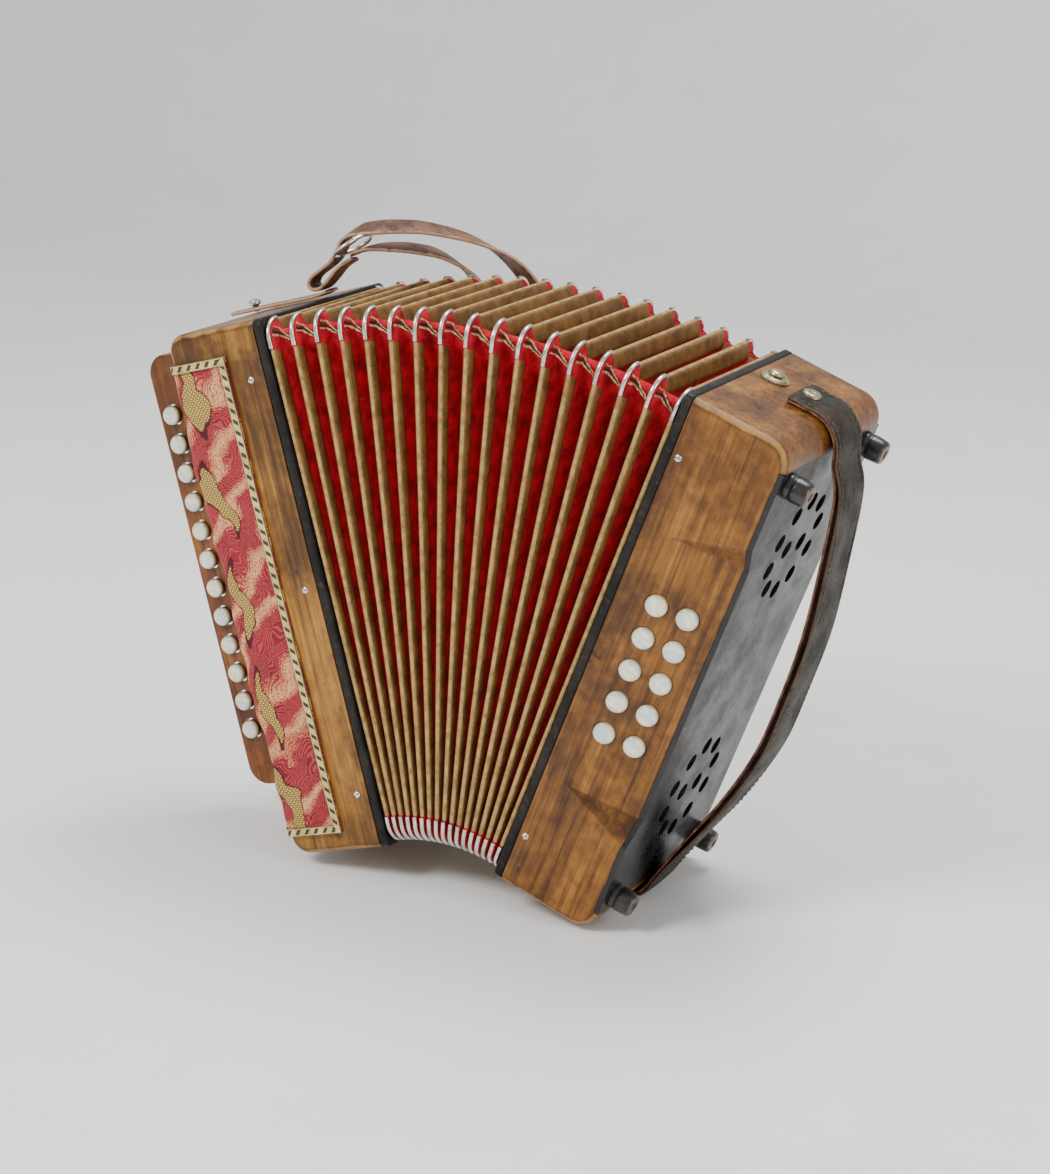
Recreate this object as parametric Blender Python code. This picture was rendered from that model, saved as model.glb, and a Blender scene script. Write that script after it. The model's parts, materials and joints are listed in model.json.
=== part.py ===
"""Diatonic button accordion, standing with its bellows fanned open.

Metres, +Z up, +X from the treble side to the bass side, +Y towards the back. The origin is
under the middle of the object, on the surface it stands on. Each side is built square in a
frame of its own: x runs outwards or inwards from the bellows, z up the casing.
"""

from math import cos, pi, radians, sin, tan

import bmesh
import bpy
from mathutils import Matrix, Vector

# Casings
CASE_HEIGHT = 0.300
CASE_DEPTH = 0.130
TREBLE_WIDTH = 0.0591
BASS_WIDTH = 0.0582
TREBLE_CORNER = 0.010
BASS_CORNER = 0.014
RIM_ROUND = 0.004
WALL = 0.006
PLAY = 0.0003
FRAME_THICK = 0.0055
FRAME_BORDER = 0.011

# Bellows
FOLD_COUNT = 17
FOLD_THICK = 0.0035
FOLD_GAP = 0.0004
FOLD_PITCH = FOLD_THICK + FOLD_GAP
FOLD_INSET = 0.002
FOLD_BORDER = 0.021
FOLD_CORNER = 0.010
FAN_ANGLE = radians(36.35)
TREBLE_LEAN = radians(16.1)
HINGE_COUNT = FOLD_COUNT - 1
FOLD_ANGLE = FAN_ANGLE / HINGE_COUNT

# Treble keyboard
BOARD_OUTER = -0.125
BOARD_LOW = 0.026
BOARD_HIGH = 0.288
BOARD_FRONT = 0.065
BOARD_THICK = 0.005
BOARD_CORNER = 0.012
KEY_COUNT = 12
KEY_PITCH = 0.0174
KEY_LOWEST = 0.0609
KEY_X = -0.1152
KEY_BUTTON_RADIUS = 0.0056
KEY_HOLE_RADIUS = 0.0065
KEY_PROUD = 0.004
AXLE_X = -0.066
AXLE_Y = 0.076
AXLE_RADIUS = 0.0015
EYE_RADIUS = 0.0042
EYE_BORE = 0.0019
LEVER_HALF = 0.0015
PALLET_X = -0.036
PALLET_HALF = 0.0065
PALLET_BOARD_Y = 0.082
PALLET_BOARD_THICK = 0.004

# Grille cloth on the treble front
GRILLE_INNER = -0.0217
GRILLE_LOW = 0.0115
GRILLE_HIGH = 0.284
GRILLE_WRAP = 0.018
CLOTH_THICK = 0.001
BRAID_WIDTH = 0.0048

# Bass side
BASS_END_THICK = 0.0027
RECESS_START = 0.0138
RECESS_SLOPE = radians(12.5)
RECESS_HALF = 0.077
RECESS_SHOULDER = 0.016
BASS_WALL = 0.018
BASS_COLUMNS = (0.0222, 0.0391)
BASS_ROWS = 5
BASS_ROW_PITCH = 0.0198
BASS_BUTTON_RADIUS = 0.00615
BASS_HOLE_RADIUS = 0.0066
BASS_PROUD = 0.0024
ROSETTE_Y = 0.068
ROSETTE_RISE = 0.0773
ROSETTE_RADIUS = 0.027
ROSETTE_PAIR = 0.0095
SOUND_HOLE_RADIUS = 0.0053
FOOT_INSET_Y = 0.0132
FOOT_INSET_Z = 0.0224
FOOT_RADIUS = 0.007
FOOT_LENGTH = 0.013
STUD_PLACE = (0.011, 0.078)

# Hand strap, along its middle line in the bass side's x and z
STRAP_Y = 0.072
STRAP_WIDTH = 0.034
STRAP_THICK = 0.003
STRAP_ROUTE = (
    (0.028, 0.3021), (0.036, 0.3021), (0.044, 0.3021), (0.0526, 0.3001), (0.0602, 0.2930),
    (0.0650, 0.281), (0.0730, 0.267), (0.0810, 0.233), (0.0880, 0.190), (0.0905, 0.150),
    (0.0900, 0.1155), (0.0830, 0.0785), (0.0720, 0.045), (0.0650, 0.022), (0.0602, 0.0070),
    (0.0526, -0.0001), (0.044, -0.0021), (0.034, -0.0021),
)
RIVET_X = 0.0345

# Shoulder strap: middle line in the treble side's frame, and which way its width runs
LOOP_WIDTH = 0.013
LOOP_THICK = 0.0025
LOOP_ROUTE = (
    ((-0.062, 0.078, 0.3019), (0, 1, 0)), ((-0.040, 0.078, 0.3020), (0, 1, 0)),
    ((-0.015, 0.078, 0.3026), (0, 1, 0)), ((0.002, 0.078, 0.306), (0, 1, 0)),
    ((0.013, 0.078, 0.314), (0, 1, 0)), ((0.024, 0.079, 0.321), (0, 1, 0)),
    ((0.038, 0.088, 0.325), (-0.3, 1, 0)), ((0.056, 0.110, 0.323), (-0.7, 0.7, 0)),
    ((0.074, 0.132, 0.310), (-0.8, 0.5, 0)), ((0.086, 0.147, 0.290), (-1, 0.3, 0)),
    ((0.092, 0.154, 0.262), (-1, 0.1, 0)), ((0.093, 0.156, 0.220), (-1, 0.1, 0)),
    ((0.090, 0.156, 0.180), (-0.8, 0.6, 0)), ((0.082, 0.155, 0.156), (-0.3, 1, 0)),
    ((0.070, 0.155, 0.149), (0, 1, 0)), ((0.060, 0.154, 0.160), (0, 1, 0)),
    ((0.056, 0.152, 0.190), (-0.2, 1, 0)), ((0.057, 0.150, 0.230), (-0.5, 0.8, 0)),
    ((0.060, 0.147, 0.265), (-0.8, 0.5, 0)), ((0.060, 0.140, 0.290), (-0.8, 0.5, 0)),
    ((0.053, 0.125, 0.307), (-0.7, 0.6, 0)), ((0.045, 0.110, 0.3135), (-0.6, 0.7, 0)),
    ((0.036, 0.096, 0.3155), (-0.4, 0.9, 0)), ((0.028, 0.086, 0.3153), (-0.2, 1, 0)),
)
BUCKLE_PLACE = (0.024, 0.079, 0.3265)
BUCKLE_HALF = (0.0105, 0.0145)
BUCKLE_WIRE = 0.0012
STRAP_STUD_X = -0.049

# Turned frames: curve and mesh axes that lie along the object's
FACING_Y = (pi / 2, 0, 0)
FACING_X = (pi / 2, 0, pi / 2)


# ---- helpers ---------------------------------------------------------------------------

def new_collection(name):
    made = bpy.data.collections.new(name)
    bpy.context.scene.collection.children.link(made)
    return made


def new_material(name, colour, roughness, metallic=0.0):
    made = bpy.data.materials.new(name)
    made.use_nodes = True
    shader = made.node_tree.nodes["Principled BSDF"]
    shader.inputs["Base Color"].default_value = (*colour, 1)
    shader.inputs["Roughness"].default_value = roughness
    shader.inputs["Metallic"].default_value = metallic
    made.diffuse_color = (*colour, 1)
    return made


def new_empty(name, parent=None, location=(0, 0, 0), turn_y=0.0):
    made = bpy.data.objects.new(name, None)
    parts.objects.link(made)
    made.parent = parent
    made.location = location
    made.rotation_euler.y = turn_y
    return made


def add_part(name, data, material, parent, location=(0, 0, 0), rotation=(0, 0, 0)):
    made = bpy.data.objects.new(name, data)
    parts.objects.link(made)
    made.parent = parent
    made.location = location
    made.rotation_euler = rotation
    if material.name not in data.materials:
        data.materials.append(material)
    return made


def mesh_from(shape, name):
    """Turns a bmesh into a mesh whose curved faces are shaded smooth."""
    mesh = bpy.data.meshes.new(name)
    bmesh.ops.recalc_face_normals(shape, faces=shape.faces)
    shape.to_mesh(mesh)
    shape.free()
    mesh.shade_smooth()
    mesh.set_sharp_from_angle(angle=radians(35))
    return mesh


def box_mesh(name, low, high):
    shape = bmesh.new()
    size = Vector(high) - Vector(low)
    middle = (Vector(high) + Vector(low)) / 2
    place = Matrix.Translation(middle) @ Matrix.Diagonal((*size, 1))
    bmesh.ops.create_cube(shape, size=1, matrix=place)
    return mesh_from(shape, name)


def rod_mesh(name, start, end, radius, sides=20, round_edge=0.0):
    """A cylinder from start to end, with its rims rounded over if asked."""
    shape = bmesh.new()
    start, end = Vector(start), Vector(end)
    along = end - start
    turn = along.to_track_quat("Z", "Y").to_matrix().to_4x4()
    place = Matrix.Translation((start + end) / 2) @ turn
    bmesh.ops.create_cone(
        shape, cap_ends=True, segments=sides, radius1=radius, radius2=radius,
        depth=along.length, matrix=place,
    )
    if round_edge:
        rims = [edge for edge in shape.edges if any(len(face.verts) > 4 for face in edge.link_faces)]
        bmesh.ops.bevel(shape, geom=rims, offset=round_edge, segments=1, profile=0.5, affect="EDGES")
    return mesh_from(shape, name)


def turned_mesh(name, profile, sides=20):
    """A solid of revolution about local Z: profile holds (radius, height), top to bottom."""
    shape = bmesh.new()
    corners = [shape.verts.new((radius, 0, height)) for radius, height in profile]
    edges = [shape.edges.new(pair) for pair in zip(corners, corners[1:])]
    bmesh.ops.spin(
        shape, geom=corners + edges, cent=(0, 0, 0), axis=(0, 0, 1), angle=2 * pi, steps=sides,
        use_merge=True,
    )
    bmesh.ops.remove_doubles(shape, verts=shape.verts, dist=0.00001)
    return mesh_from(shape, name)


def arc_points(centre, radius, start, end, steps):
    """Points on an arc, angles in degrees, both ends included."""
    angles = [radians(start + (end - start) * step / steps) for step in range(steps + 1)]
    return [(centre[0] + radius * cos(angle), centre[1] + radius * sin(angle)) for angle in angles]


def rounded_outline(low, high, radii, steps=4):
    """A rectangle's outline, anticlockwise from the lower left; radii per corner."""
    corners = ((low[0], low[1], 180), (high[0], low[1], 270), (high[0], high[1], 0), (low[0], high[1], 90))
    inward = ((1, 1), (-1, 1), (-1, -1), (1, -1))
    points = []
    for (x, y, angle), (side_x, side_y), radius in zip(corners, inward, radii):
        if radius:
            centre = (x + side_x * radius, y + side_y * radius)
            points += arc_points(centre, radius, angle, angle + 90, steps)
        else:
            points.append((x, y))
    return points


def plate_curve(name, outlines, thickness):
    """A flat plate with the first outline as its edge and the others as holes."""
    curve = bpy.data.curves.new(name, "CURVE")
    curve.dimensions = "2D"
    curve.fill_mode = "BOTH"
    curve.extrude = thickness / 2
    for outline in outlines:
        spline = curve.splines.new("POLY")
        spline.points.add(len(outline) - 1)
        for point, (x, y) in zip(spline.points, outline):
            point.co = (x, y, 0, 1)
        spline.use_cyclic_u = True
    return curve


def plate_mesh(name, outlines, thickness, place):
    """The same plate as one welded mesh, moved to its place."""
    holder = bpy.data.objects.new(name, plate_curve(name, outlines, thickness))
    parts.objects.link(holder)
    bpy.context.view_layer.update()
    graph = bpy.context.evaluated_depsgraph_get()
    mesh = bpy.data.meshes.new_from_object(holder.evaluated_get(graph))
    bpy.data.objects.remove(holder)
    shape = bmesh.new()
    shape.from_mesh(mesh)
    bmesh.ops.remove_doubles(shape, verts=shape.verts, dist=0.000005)
    bmesh.ops.transform(shape, matrix=place, verts=shape.verts)
    return mesh_from(shape, name)


def placed(rotation, location=(0, 0, 0)):
    """The matrix of a turned frame at a location."""
    turn = Matrix.Rotation(rotation[2], 4, "Z") @ Matrix.Rotation(rotation[0], 4, "X")
    return Matrix.Translation(location) @ turn


def change(part, mesh, operation):
    """Cuts a helper mesh from a part, or joins it on. The helper moves with the part."""
    helper = bpy.data.objects.new(f"{part.name}_helper", mesh)
    cutters.objects.link(helper)
    helper.parent = part
    helper.hide_render = True
    helper.display_type = "WIRE"
    modifier = part.modifiers.new(operation.lower(), "BOOLEAN")
    modifier.object = helper
    modifier.operation = operation


def cut(part, mesh):
    change(part, mesh, "DIFFERENCE")


def join(part, mesh):
    change(part, mesh, "UNION")


def smooth_route(points, steps):
    """A Catmull-Rom curve through the points, with so many steps to each stretch."""
    points = [Vector(point) for point in points]
    ends = [2 * points[0] - points[1], *points, 2 * points[-1] - points[-2]]
    route = []
    for before, start, end, after in zip(ends, ends[1:], ends[2:], ends[3:]):
        for step in range(steps):
            t = step / steps
            route.append(
                0.5 * (2 * start + (end - before) * t + (2 * before - 5 * start + 4 * end - after) * t**2
                       + (3 * start - before - 3 * end + after) * t**3)
            )
    return [*route, points[-1]]


# ---- casings ---------------------------------------------------------------------------

def round_rim(shape, seam_x, offset):
    """Rounds the front and back edges of a casing, but not where it meets the frame."""
    rims = []
    for edge in shape.edges:
        (x1, y1, _), (x2, y2, _) = (corner.co for corner in edge.verts)
        along_face = abs(y1 - y2) < 1e-5 and (abs(y1) < 1e-5 or abs(y1 - CASE_DEPTH) < 1e-5)
        if along_face and not (abs(x1 - seam_x) < 1e-5 and abs(x2 - seam_x) < 1e-5):
            if len(edge.link_faces) == 2 and edge.calc_face_angle() > radians(60):
                rims.append(edge)
    bmesh.ops.bevel(shape, geom=rims, offset=offset, segments=3, profile=0.5, affect="EDGES")


def casing_mesh(name, low_x, high_x, radii, rim):
    """A block with rounded outer corners, its face edges rounded too."""
    outline = rounded_outline((low_x, 0), (high_x, CASE_HEIGHT), radii)
    place = placed(FACING_Y, (0, CASE_DEPTH / 2, 0))
    block = plate_mesh(name, [outline], CASE_DEPTH, place)
    shape = bmesh.new()
    shape.from_mesh(block)
    bmesh.ops.dissolve_limit(
        shape, angle_limit=radians(1), verts=shape.verts[:], edges=shape.edges[:]
    )
    round_rim(shape, 0, rim)
    return mesh_from(shape, name)


def make_treble_case(parent):
    mesh = casing_mesh(
        "treble_case", -TREBLE_WIDTH, 0, (TREBLE_CORNER, 0, 0, TREBLE_CORNER), RIM_ROUND
    )
    case = add_part("treble_case", mesh, wood, parent)
    cut(case, box_mesh("hollow", (WALL - TREBLE_WIDTH, WALL, WALL),
                       (0.01, CASE_DEPTH - WALL, CASE_HEIGHT - WALL)))
    cut(case, box_mesh("grille_window", (-0.050, -0.01, 0.022), (-0.027, 0.01, 0.274)))
    cut(case, box_mesh("lever_slot", (-0.07, 0.0705, 0.052), (-0.04, 0.0810, 0.262)))


def frame_ring(name, centre_x, parent, thickness, inset, border, corner):
    """An upright rectangular ring whose flat sides face the bellows."""
    low, high = (inset, inset), (CASE_DEPTH - inset, CASE_HEIGHT - inset)
    outer = rounded_outline(low, high, [corner] * 4)
    inner = rounded_outline((low[0] + border, low[1] + border), (high[0] - border, high[1] - border), [0] * 4)
    curve = plate_curve(name, [outer, inner], thickness)
    return add_part(name, curve, black if "frame" in name else card, parent, (centre_x, 0, 0), FACING_X)


def make_treble_reed_block(parent):
    """The board under the pallets, with its reed block behind."""
    low = (-TREBLE_WIDTH + WALL + PLAY, PALLET_BOARD_Y, WALL + PLAY)
    high = (-PLAY, PALLET_BOARD_Y + PALLET_BOARD_THICK, CASE_HEIGHT - WALL - PLAY)
    board = add_part("treble_reed_block", box_mesh("board", low, high), bare_wood, parent)
    back = PALLET_BOARD_Y + PALLET_BOARD_THICK
    join(board, box_mesh("reeds", (-0.048, back - 0.001, 0.030), (-0.010, back + 0.030, 0.270)))
    for row in range(KEY_COUNT):
        z = KEY_LOWEST + row * KEY_PITCH
        cut(board, box_mesh("port", (PALLET_X - 0.005, 0.07, z - 0.0035),
                            (PALLET_X + 0.005, back + 0.024, z + 0.0035)))


# ---- treble trim and keyboard ------------------------------------------------------------

def grille_outline(inside, outside):
    """The cloth seen from above: flat on the front, then round the casing's outer edge."""
    centre = (RIM_ROUND - TREBLE_WIDTH, RIM_ROUND)
    inner = arc_points(centre, RIM_ROUND + inside, 180, 270, 4)
    outer = arc_points(centre, RIM_ROUND + outside, 270, 180, 4)
    return [
        (-TREBLE_WIDTH - inside, GRILLE_WRAP), *inner, (GRILLE_INNER, -inside),
        (GRILLE_INNER, -outside), *outer, (-TREBLE_WIDTH - outside, GRILLE_WRAP),
    ]


def make_grille(parent):
    height = GRILLE_HIGH - GRILLE_LOW
    middle = (GRILLE_HIGH + GRILLE_LOW) / 2
    outline = grille_outline(PLAY, PLAY + CLOTH_THICK)
    curve = plate_curve("grille_cloth", [outline], height)
    add_part("grille_cloth", curve, brocade, parent, (0, 0, middle))
    left, right = -TREBLE_WIDTH + RIM_ROUND, GRILLE_INNER
    inner_x, low, high = right - BRAID_WIDTH, GRILLE_LOW, GRILLE_HIGH
    braid = [
        (left, low), (right, low), (right, high), (left, high), (left, high - BRAID_WIDTH),
        (inner_x, high - BRAID_WIDTH), (inner_x, low + BRAID_WIDTH), (left, low + BRAID_WIDTH),
    ]
    front = -(2 * PLAY + 1.5 * CLOTH_THICK)
    curve = plate_curve("grille_braid", [braid], CLOTH_THICK)
    add_part("grille_braid", curve, gold_tape, parent, (0, front, 0), FACING_Y)


def make_fingerboard(parent):
    outline = rounded_outline(
        (BOARD_OUTER, BOARD_LOW), (-TREBLE_WIDTH - PLAY, BOARD_HIGH), (BOARD_CORNER, 0, 0, BOARD_CORNER)
    )
    place = placed(FACING_Y, (0, BOARD_FRONT + BOARD_THICK / 2, 0))
    board = add_part("fingerboard", plate_mesh("board", [outline], BOARD_THICK, place), wood, parent)
    for row in range(KEY_COUNT):
        z = KEY_LOWEST + row * KEY_PITCH
        ends = (KEY_X, BOARD_FRONT - 0.01, z), (KEY_X, BOARD_FRONT + 0.02, z)
        cut(board, rod_mesh("button_hole", *ends, KEY_HOLE_RADIUS, 16))


def make_key_axle(parent):
    """The wire that the levers turn on, in two feet behind the fingerboard."""
    low, high = BOARD_LOW + 0.016, BOARD_HIGH - 0.018
    rod = rod_mesh("key_axle", (0, 0, low), (0, 0, high), AXLE_RADIUS, 12)
    axle = add_part("key_axle", rod, steel, parent, (AXLE_X, AXLE_Y, 0))
    front = BOARD_FRONT + BOARD_THICK + PLAY - AXLE_Y
    for z in (low, high):
        join(axle, box_mesh("foot", (-0.003, front, z - 0.003), (0.003, 0.0025, z + 0.003)))


def key_mesh():
    """One key about its hinge: button, lever, eye and pallet joined."""
    button_x, pallet_x = KEY_X - AXLE_X, PALLET_X - AXLE_X
    front, back = BOARD_FRONT - KEY_PROUD - AXLE_Y, PALLET_BOARD_Y - AXLE_Y - 0.0005
    body = bpy.data.objects.new(
        "key_body", rod_mesh("button", (button_x, front, 0), (button_x, 0, 0), KEY_BUTTON_RADIUS, 16, 0.001)
    )
    parts.objects.link(body)
    join(body, box_mesh("lever", (button_x - 0.002, -LEVER_HALF, -LEVER_HALF),
                        (pallet_x + 0.004, LEVER_HALF, LEVER_HALF)))
    join(body, rod_mesh("eye", (0, 0, -0.003), (0, 0, 0.003), EYE_RADIUS, 16))
    join(body, box_mesh("pallet", (pallet_x - 0.008, 0.001, -PALLET_HALF), (pallet_x + 0.008, back, PALLET_HALF)))
    cut(body, rod_mesh("bore", (0, 0, -0.01), (0, 0, 0.01), EYE_BORE, 12))
    bpy.context.view_layer.update()
    graph = bpy.context.evaluated_depsgraph_get()
    mesh = bpy.data.meshes.new_from_object(body.evaluated_get(graph))
    for helper in [child for child in bpy.data.objects if child.parent == body]:
        bpy.data.objects.remove(helper)
    bpy.data.objects.remove(body)
    return mesh


def make_keys(parent):
    mesh = key_mesh()
    for row in range(KEY_COUNT):
        place = (AXLE_X, AXLE_Y, KEY_LOWEST + row * KEY_PITCH)
        add_part(f"treble_key_{row + 1:02d}", mesh, pearl, parent, place)


def band_mesh(name, route, across, width, thickness):
    """A flat strap along a route in space, its width along the given directions."""
    shape = bmesh.new()
    rings = []
    for index, (point, side) in enumerate(zip(route, across)):
        forward = (route[min(index + 1, len(route) - 1)] - route[max(index - 1, 0)]).normalized()
        side = (side - forward * side.dot(forward)).normalized() * width / 2
        lift = forward.cross(side).normalized() * thickness / 2
        corners = (point + side + lift, point - side + lift, point - side - lift, point + side - lift)
        rings.append([shape.verts.new(corner) for corner in corners])
    for first, second in zip(rings, rings[1:]):
        for corner in range(4):
            beside = (corner + 1) % 4
            shape.faces.new((first[corner], first[beside], second[beside], second[corner]))
    shape.faces.new(rings[0])
    shape.faces.new(rings[-1])
    return mesh_from(shape, name)


def make_shoulder_strap(parent):
    route = smooth_route([point for point, _ in LOOP_ROUTE], 3)
    across = smooth_route([side for _, side in LOOP_ROUTE], 3)
    mesh = band_mesh("shoulder_strap", route, across, LOOP_WIDTH, LOOP_THICK)
    strap = add_part("shoulder_strap", mesh, leather, parent)
    hole = (STRAP_STUD_X, STRAP_Y + 0.006, 0)
    cut(strap, rod_mesh("stud_hole", hole, (hole[0], hole[1], 0.31), 0.0022, 12))
    profile = [(0, 0.0078), (0.0022, 0.0075), (0.0036, 0.0062), (0.0036, 0.0046), (0.0016, 0.0038), (0.0016, PLAY),
               (0, PLAY)]
    add_part("strap_stud", turned_mesh("strap_stud", profile, 16), steel, parent,
             (hole[0], hole[1], CASE_HEIGHT))


def make_buckle(parent):
    """An oval of wire lying on the strap."""
    curve = bpy.data.curves.new("strap_buckle", "CURVE")
    curve.dimensions = "3D"
    curve.bevel_depth = BUCKLE_WIRE
    curve.bevel_resolution = 1
    spline = curve.splines.new("POLY")
    turns = 24
    spline.points.add(turns - 1)
    for index, point in enumerate(spline.points):
        angle = 2 * pi * index / turns
        point.co = (BUCKLE_HALF[0] * cos(angle), BUCKLE_HALF[1] * sin(angle), 0, 1)
    spline.use_cyclic_u = True
    add_part("strap_buckle", curve, steel, parent, BUCKLE_PLACE, (0, radians(-24), 0))


# ---- bellows ---------------------------------------------------------------------------

def make_bellows(parent):
    """A chain of folds, hinged to each other along the bottom of the bellows.

    The first fold is glued to the treble frame, and the last carries the bass frame.
    """
    ring_x = FRAME_THICK + PLAY + FOLD_THICK / 2
    hinge_x = FRAME_THICK + PLAY + FOLD_THICK + FOLD_GAP / 2
    for index in range(FOLD_COUNT):
        if index:
            parent = new_empty(f"hinge_{index:02d}", parent, (hinge_x, 0, 0), FOLD_ANGLE)
            ring_x, hinge_x = FOLD_PITCH / 2, FOLD_PITCH
        name = f"bellows_fold_{index + 1:02d}"
        frame_ring(name, ring_x, parent, FOLD_THICK, FOLD_INSET, FOLD_BORDER, FOLD_CORNER)
    last_x = FOLD_PITCH - FOLD_GAP / 2 + PLAY + FRAME_THICK
    return new_empty("bass_side", parent, (last_x, 0, 0))


# ---- bass side -------------------------------------------------------------------------

def recess_mesh():
    """The finger recess: a wedge that deepens outwards, with sloping shoulders."""
    middle, reach = CASE_HEIGHT / 2, 0.075
    depth = (reach - RECESS_START) * tan(RECESS_SLOPE)
    spread = RECESS_HALF + RECESS_SHOULDER * (reach - RECESS_START) / (BASS_WIDTH - RECESS_START)
    shape = bmesh.new()
    points = []
    for side in (-1, 1):
        points += [
            (RECESS_START, 0, middle + side * RECESS_HALF), (reach, 0, middle + side * spread),
            (reach, depth, middle + side * RECESS_HALF), (RECESS_START - 0.005, -0.004, middle + side * RECESS_HALF),
            (reach, -0.004, middle + side * (spread + 0.002)),
        ]
    corners = [shape.verts.new(point) for point in points]
    bmesh.ops.convex_hull(shape, input=corners)
    return mesh_from(shape, "recess")


def make_bass_case(parent):
    mesh = casing_mesh("bass_case", 0, BASS_WIDTH, (0, BASS_CORNER, BASS_CORNER, 0), RIM_ROUND)
    case = add_part("bass_case", mesh, wood, parent)
    wall_end = BASS_WIDTH - BASS_END_THICK - PLAY
    low, high = BASS_CORNER, CASE_HEIGHT - BASS_CORNER
    cut(case, box_mesh("hollow", (-0.01, BASS_WALL, WALL), (wall_end - 0.005, CASE_DEPTH - WALL, CASE_HEIGHT - WALL)))
    cut(case, box_mesh("end_opening", (wall_end - 0.01, BASS_WALL, low + 0.012),
                       (0.08, CASE_DEPTH - WALL, high - 0.012)))
    cut(case, box_mesh("plate_seat", (wall_end, -0.01, low - PLAY), (0.08, CASE_DEPTH + 0.01, high + PLAY)))
    cut(case, recess_mesh())
    for place, normal in bass_button_places():
        cut(case, rod_mesh("button_hole", place - normal * 0.03, place + normal * 0.01, BASS_HOLE_RADIUS, 16))


def make_bass_end_plate(parent):
    low = (BASS_WIDTH - BASS_END_THICK, 0, BASS_CORNER)
    high = (BASS_WIDTH, CASE_DEPTH, CASE_HEIGHT - BASS_CORNER)
    plate = add_part("bass_end_plate", box_mesh("bass_end_plate", low, high), black, parent)
    cut(plate, recess_mesh())
    for side in (-1, 1):
        z = CASE_HEIGHT / 2 + side * ROSETTE_RISE
        ring = arc_points((ROSETTE_Y, z), ROSETTE_RADIUS, 18, 342, 9)
        pair = [(ROSETTE_Y - ROSETTE_PAIR, z), (ROSETTE_Y + ROSETTE_PAIR, z)]
        for y, height in ring + pair:
            cut(plate, rod_mesh("sound_hole", (0.04, y, height), (0.07, y, height), SOUND_HOLE_RADIUS, 12))


def bass_button_places():
    """Each button's point on the sloped face and the outward normal there."""
    normal = Vector((sin(RECESS_SLOPE), -cos(RECESS_SLOPE), 0))
    places = []
    for x in BASS_COLUMNS:
        y = (x - RECESS_START) * tan(RECESS_SLOPE)
        for row in range(BASS_ROWS):
            z = CASE_HEIGHT / 2 + (row - (BASS_ROWS - 1) / 2) * BASS_ROW_PITCH
            places.append((Vector((x, y, z)), normal))
    return places


def make_bass_buttons(parent):
    profile = [(0, BASS_PROUD), (0.0040, BASS_PROUD - 0.0003), (0.0056, BASS_PROUD - 0.0010),
               (BASS_BUTTON_RADIUS, BASS_PROUD - 0.0022), (BASS_BUTTON_RADIUS, -0.0125), (0, -0.0125)]
    mesh = turned_mesh("bass_button", profile, 16)
    for index, (place, normal) in enumerate(bass_button_places()):
        button = add_part(f"bass_button_{index + 1:02d}", mesh, pearl, parent, place)
        button.rotation_euler = normal.to_track_quat("Z", "Y").to_euler()


def make_bass_reed_block(parent):
    """The slab of reeds for the bass notes, standing in the casing."""
    low = (0.008, 0.062, 0.030)
    high = (0.030, 0.110, 0.270)
    block = add_part("bass_reed_block", box_mesh("bass_reed_block", low, high), bare_wood, parent)
    join(block, box_mesh("base_board", (0.0005, 0.045, 0.0065), (0.0085, 0.1235, 0.2935)))
    for row in range(6):
        z = 0.050 + row * 0.040
        cut(block, box_mesh("reed_slot", (-0.01, 0.074, z - 0.006), (0.025, 0.098, z + 0.006)))


def make_feet(parent):
    profile = [(0, FOOT_LENGTH), (0.0045, FOOT_LENGTH), (0.0045, FOOT_LENGTH - 0.0008), (0.0056, FOOT_LENGTH - 0.0008),
               (0.0062, FOOT_LENGTH - 0.0016), (FOOT_RADIUS, 0.0045), (FOOT_RADIUS, PLAY), (0, PLAY)]
    mesh = turned_mesh("bass_foot", profile, 16)
    for index, (y, z) in enumerate((
        (FOOT_INSET_Y, FOOT_INSET_Z), (CASE_DEPTH - FOOT_INSET_Y, FOOT_INSET_Z),
        (FOOT_INSET_Y, CASE_HEIGHT - FOOT_INSET_Z), (CASE_DEPTH - FOOT_INSET_Y, CASE_HEIGHT - FOOT_INSET_Z),
    )):
        add_part(f"bass_foot_{index + 1}", mesh, black, parent, (BASS_WIDTH, y, z), (0, pi / 2, 0))


def make_hand_strap(parent):
    """A leather band over the end of the bass side, held on its top and bottom."""
    route = smooth_route([(x, 0, z) for x, z in STRAP_ROUTE], 2)
    sides = []
    for index, point in enumerate(route):
        forward = (route[min(index + 1, len(route) - 1)] - route[max(index - 1, 0)]).normalized()
        outward = Vector((-forward.z, 0, forward.x)) * STRAP_THICK / 2
        sides.append(((point + outward).xz, (point - outward).xz))
    outline = [tuple(outer) for outer, _ in sides] + [tuple(inner) for _, inner in reversed(sides)]
    place = placed(FACING_Y, (0, STRAP_Y, 0))
    mesh = plate_mesh("hand_strap", [outline], STRAP_WIDTH, place)
    strap = add_part("hand_strap", mesh, leather, parent)
    cut(strap, rod_mesh("rivet_hole", (RIVET_X, STRAP_Y, 0.29), (RIVET_X, STRAP_Y, 0.32), 0.0024, 12))
    profile = [(0, 0.0060), (0.0040, 0.0058), (0.0050, 0.0050), (0.0050, 0.0041), (0.0018, 0.0041), (0.0018, PLAY),
               (0, PLAY)]
    add_part("hand_strap_rivet", turned_mesh("rivet", profile, 16), brass, parent,
             (RIVET_X, STRAP_Y, CASE_HEIGHT))


def make_air_stud(parent):
    profile = [(0, 0.0050), (0.0030, 0.0048), (0.0043, 0.0038), (0.0043, 0.0028), (0.0030, 0.0022), (0.0046, 0.0016),
               (0.0074, 0.0012), (0.0080, PLAY), (0, PLAY)]
    add_part("press_stud", turned_mesh("press_stud", profile, 20), brass, parent, (*STUD_PLACE, CASE_HEIGHT))


# ---- the whole object ------------------------------------------------------------------

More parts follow.
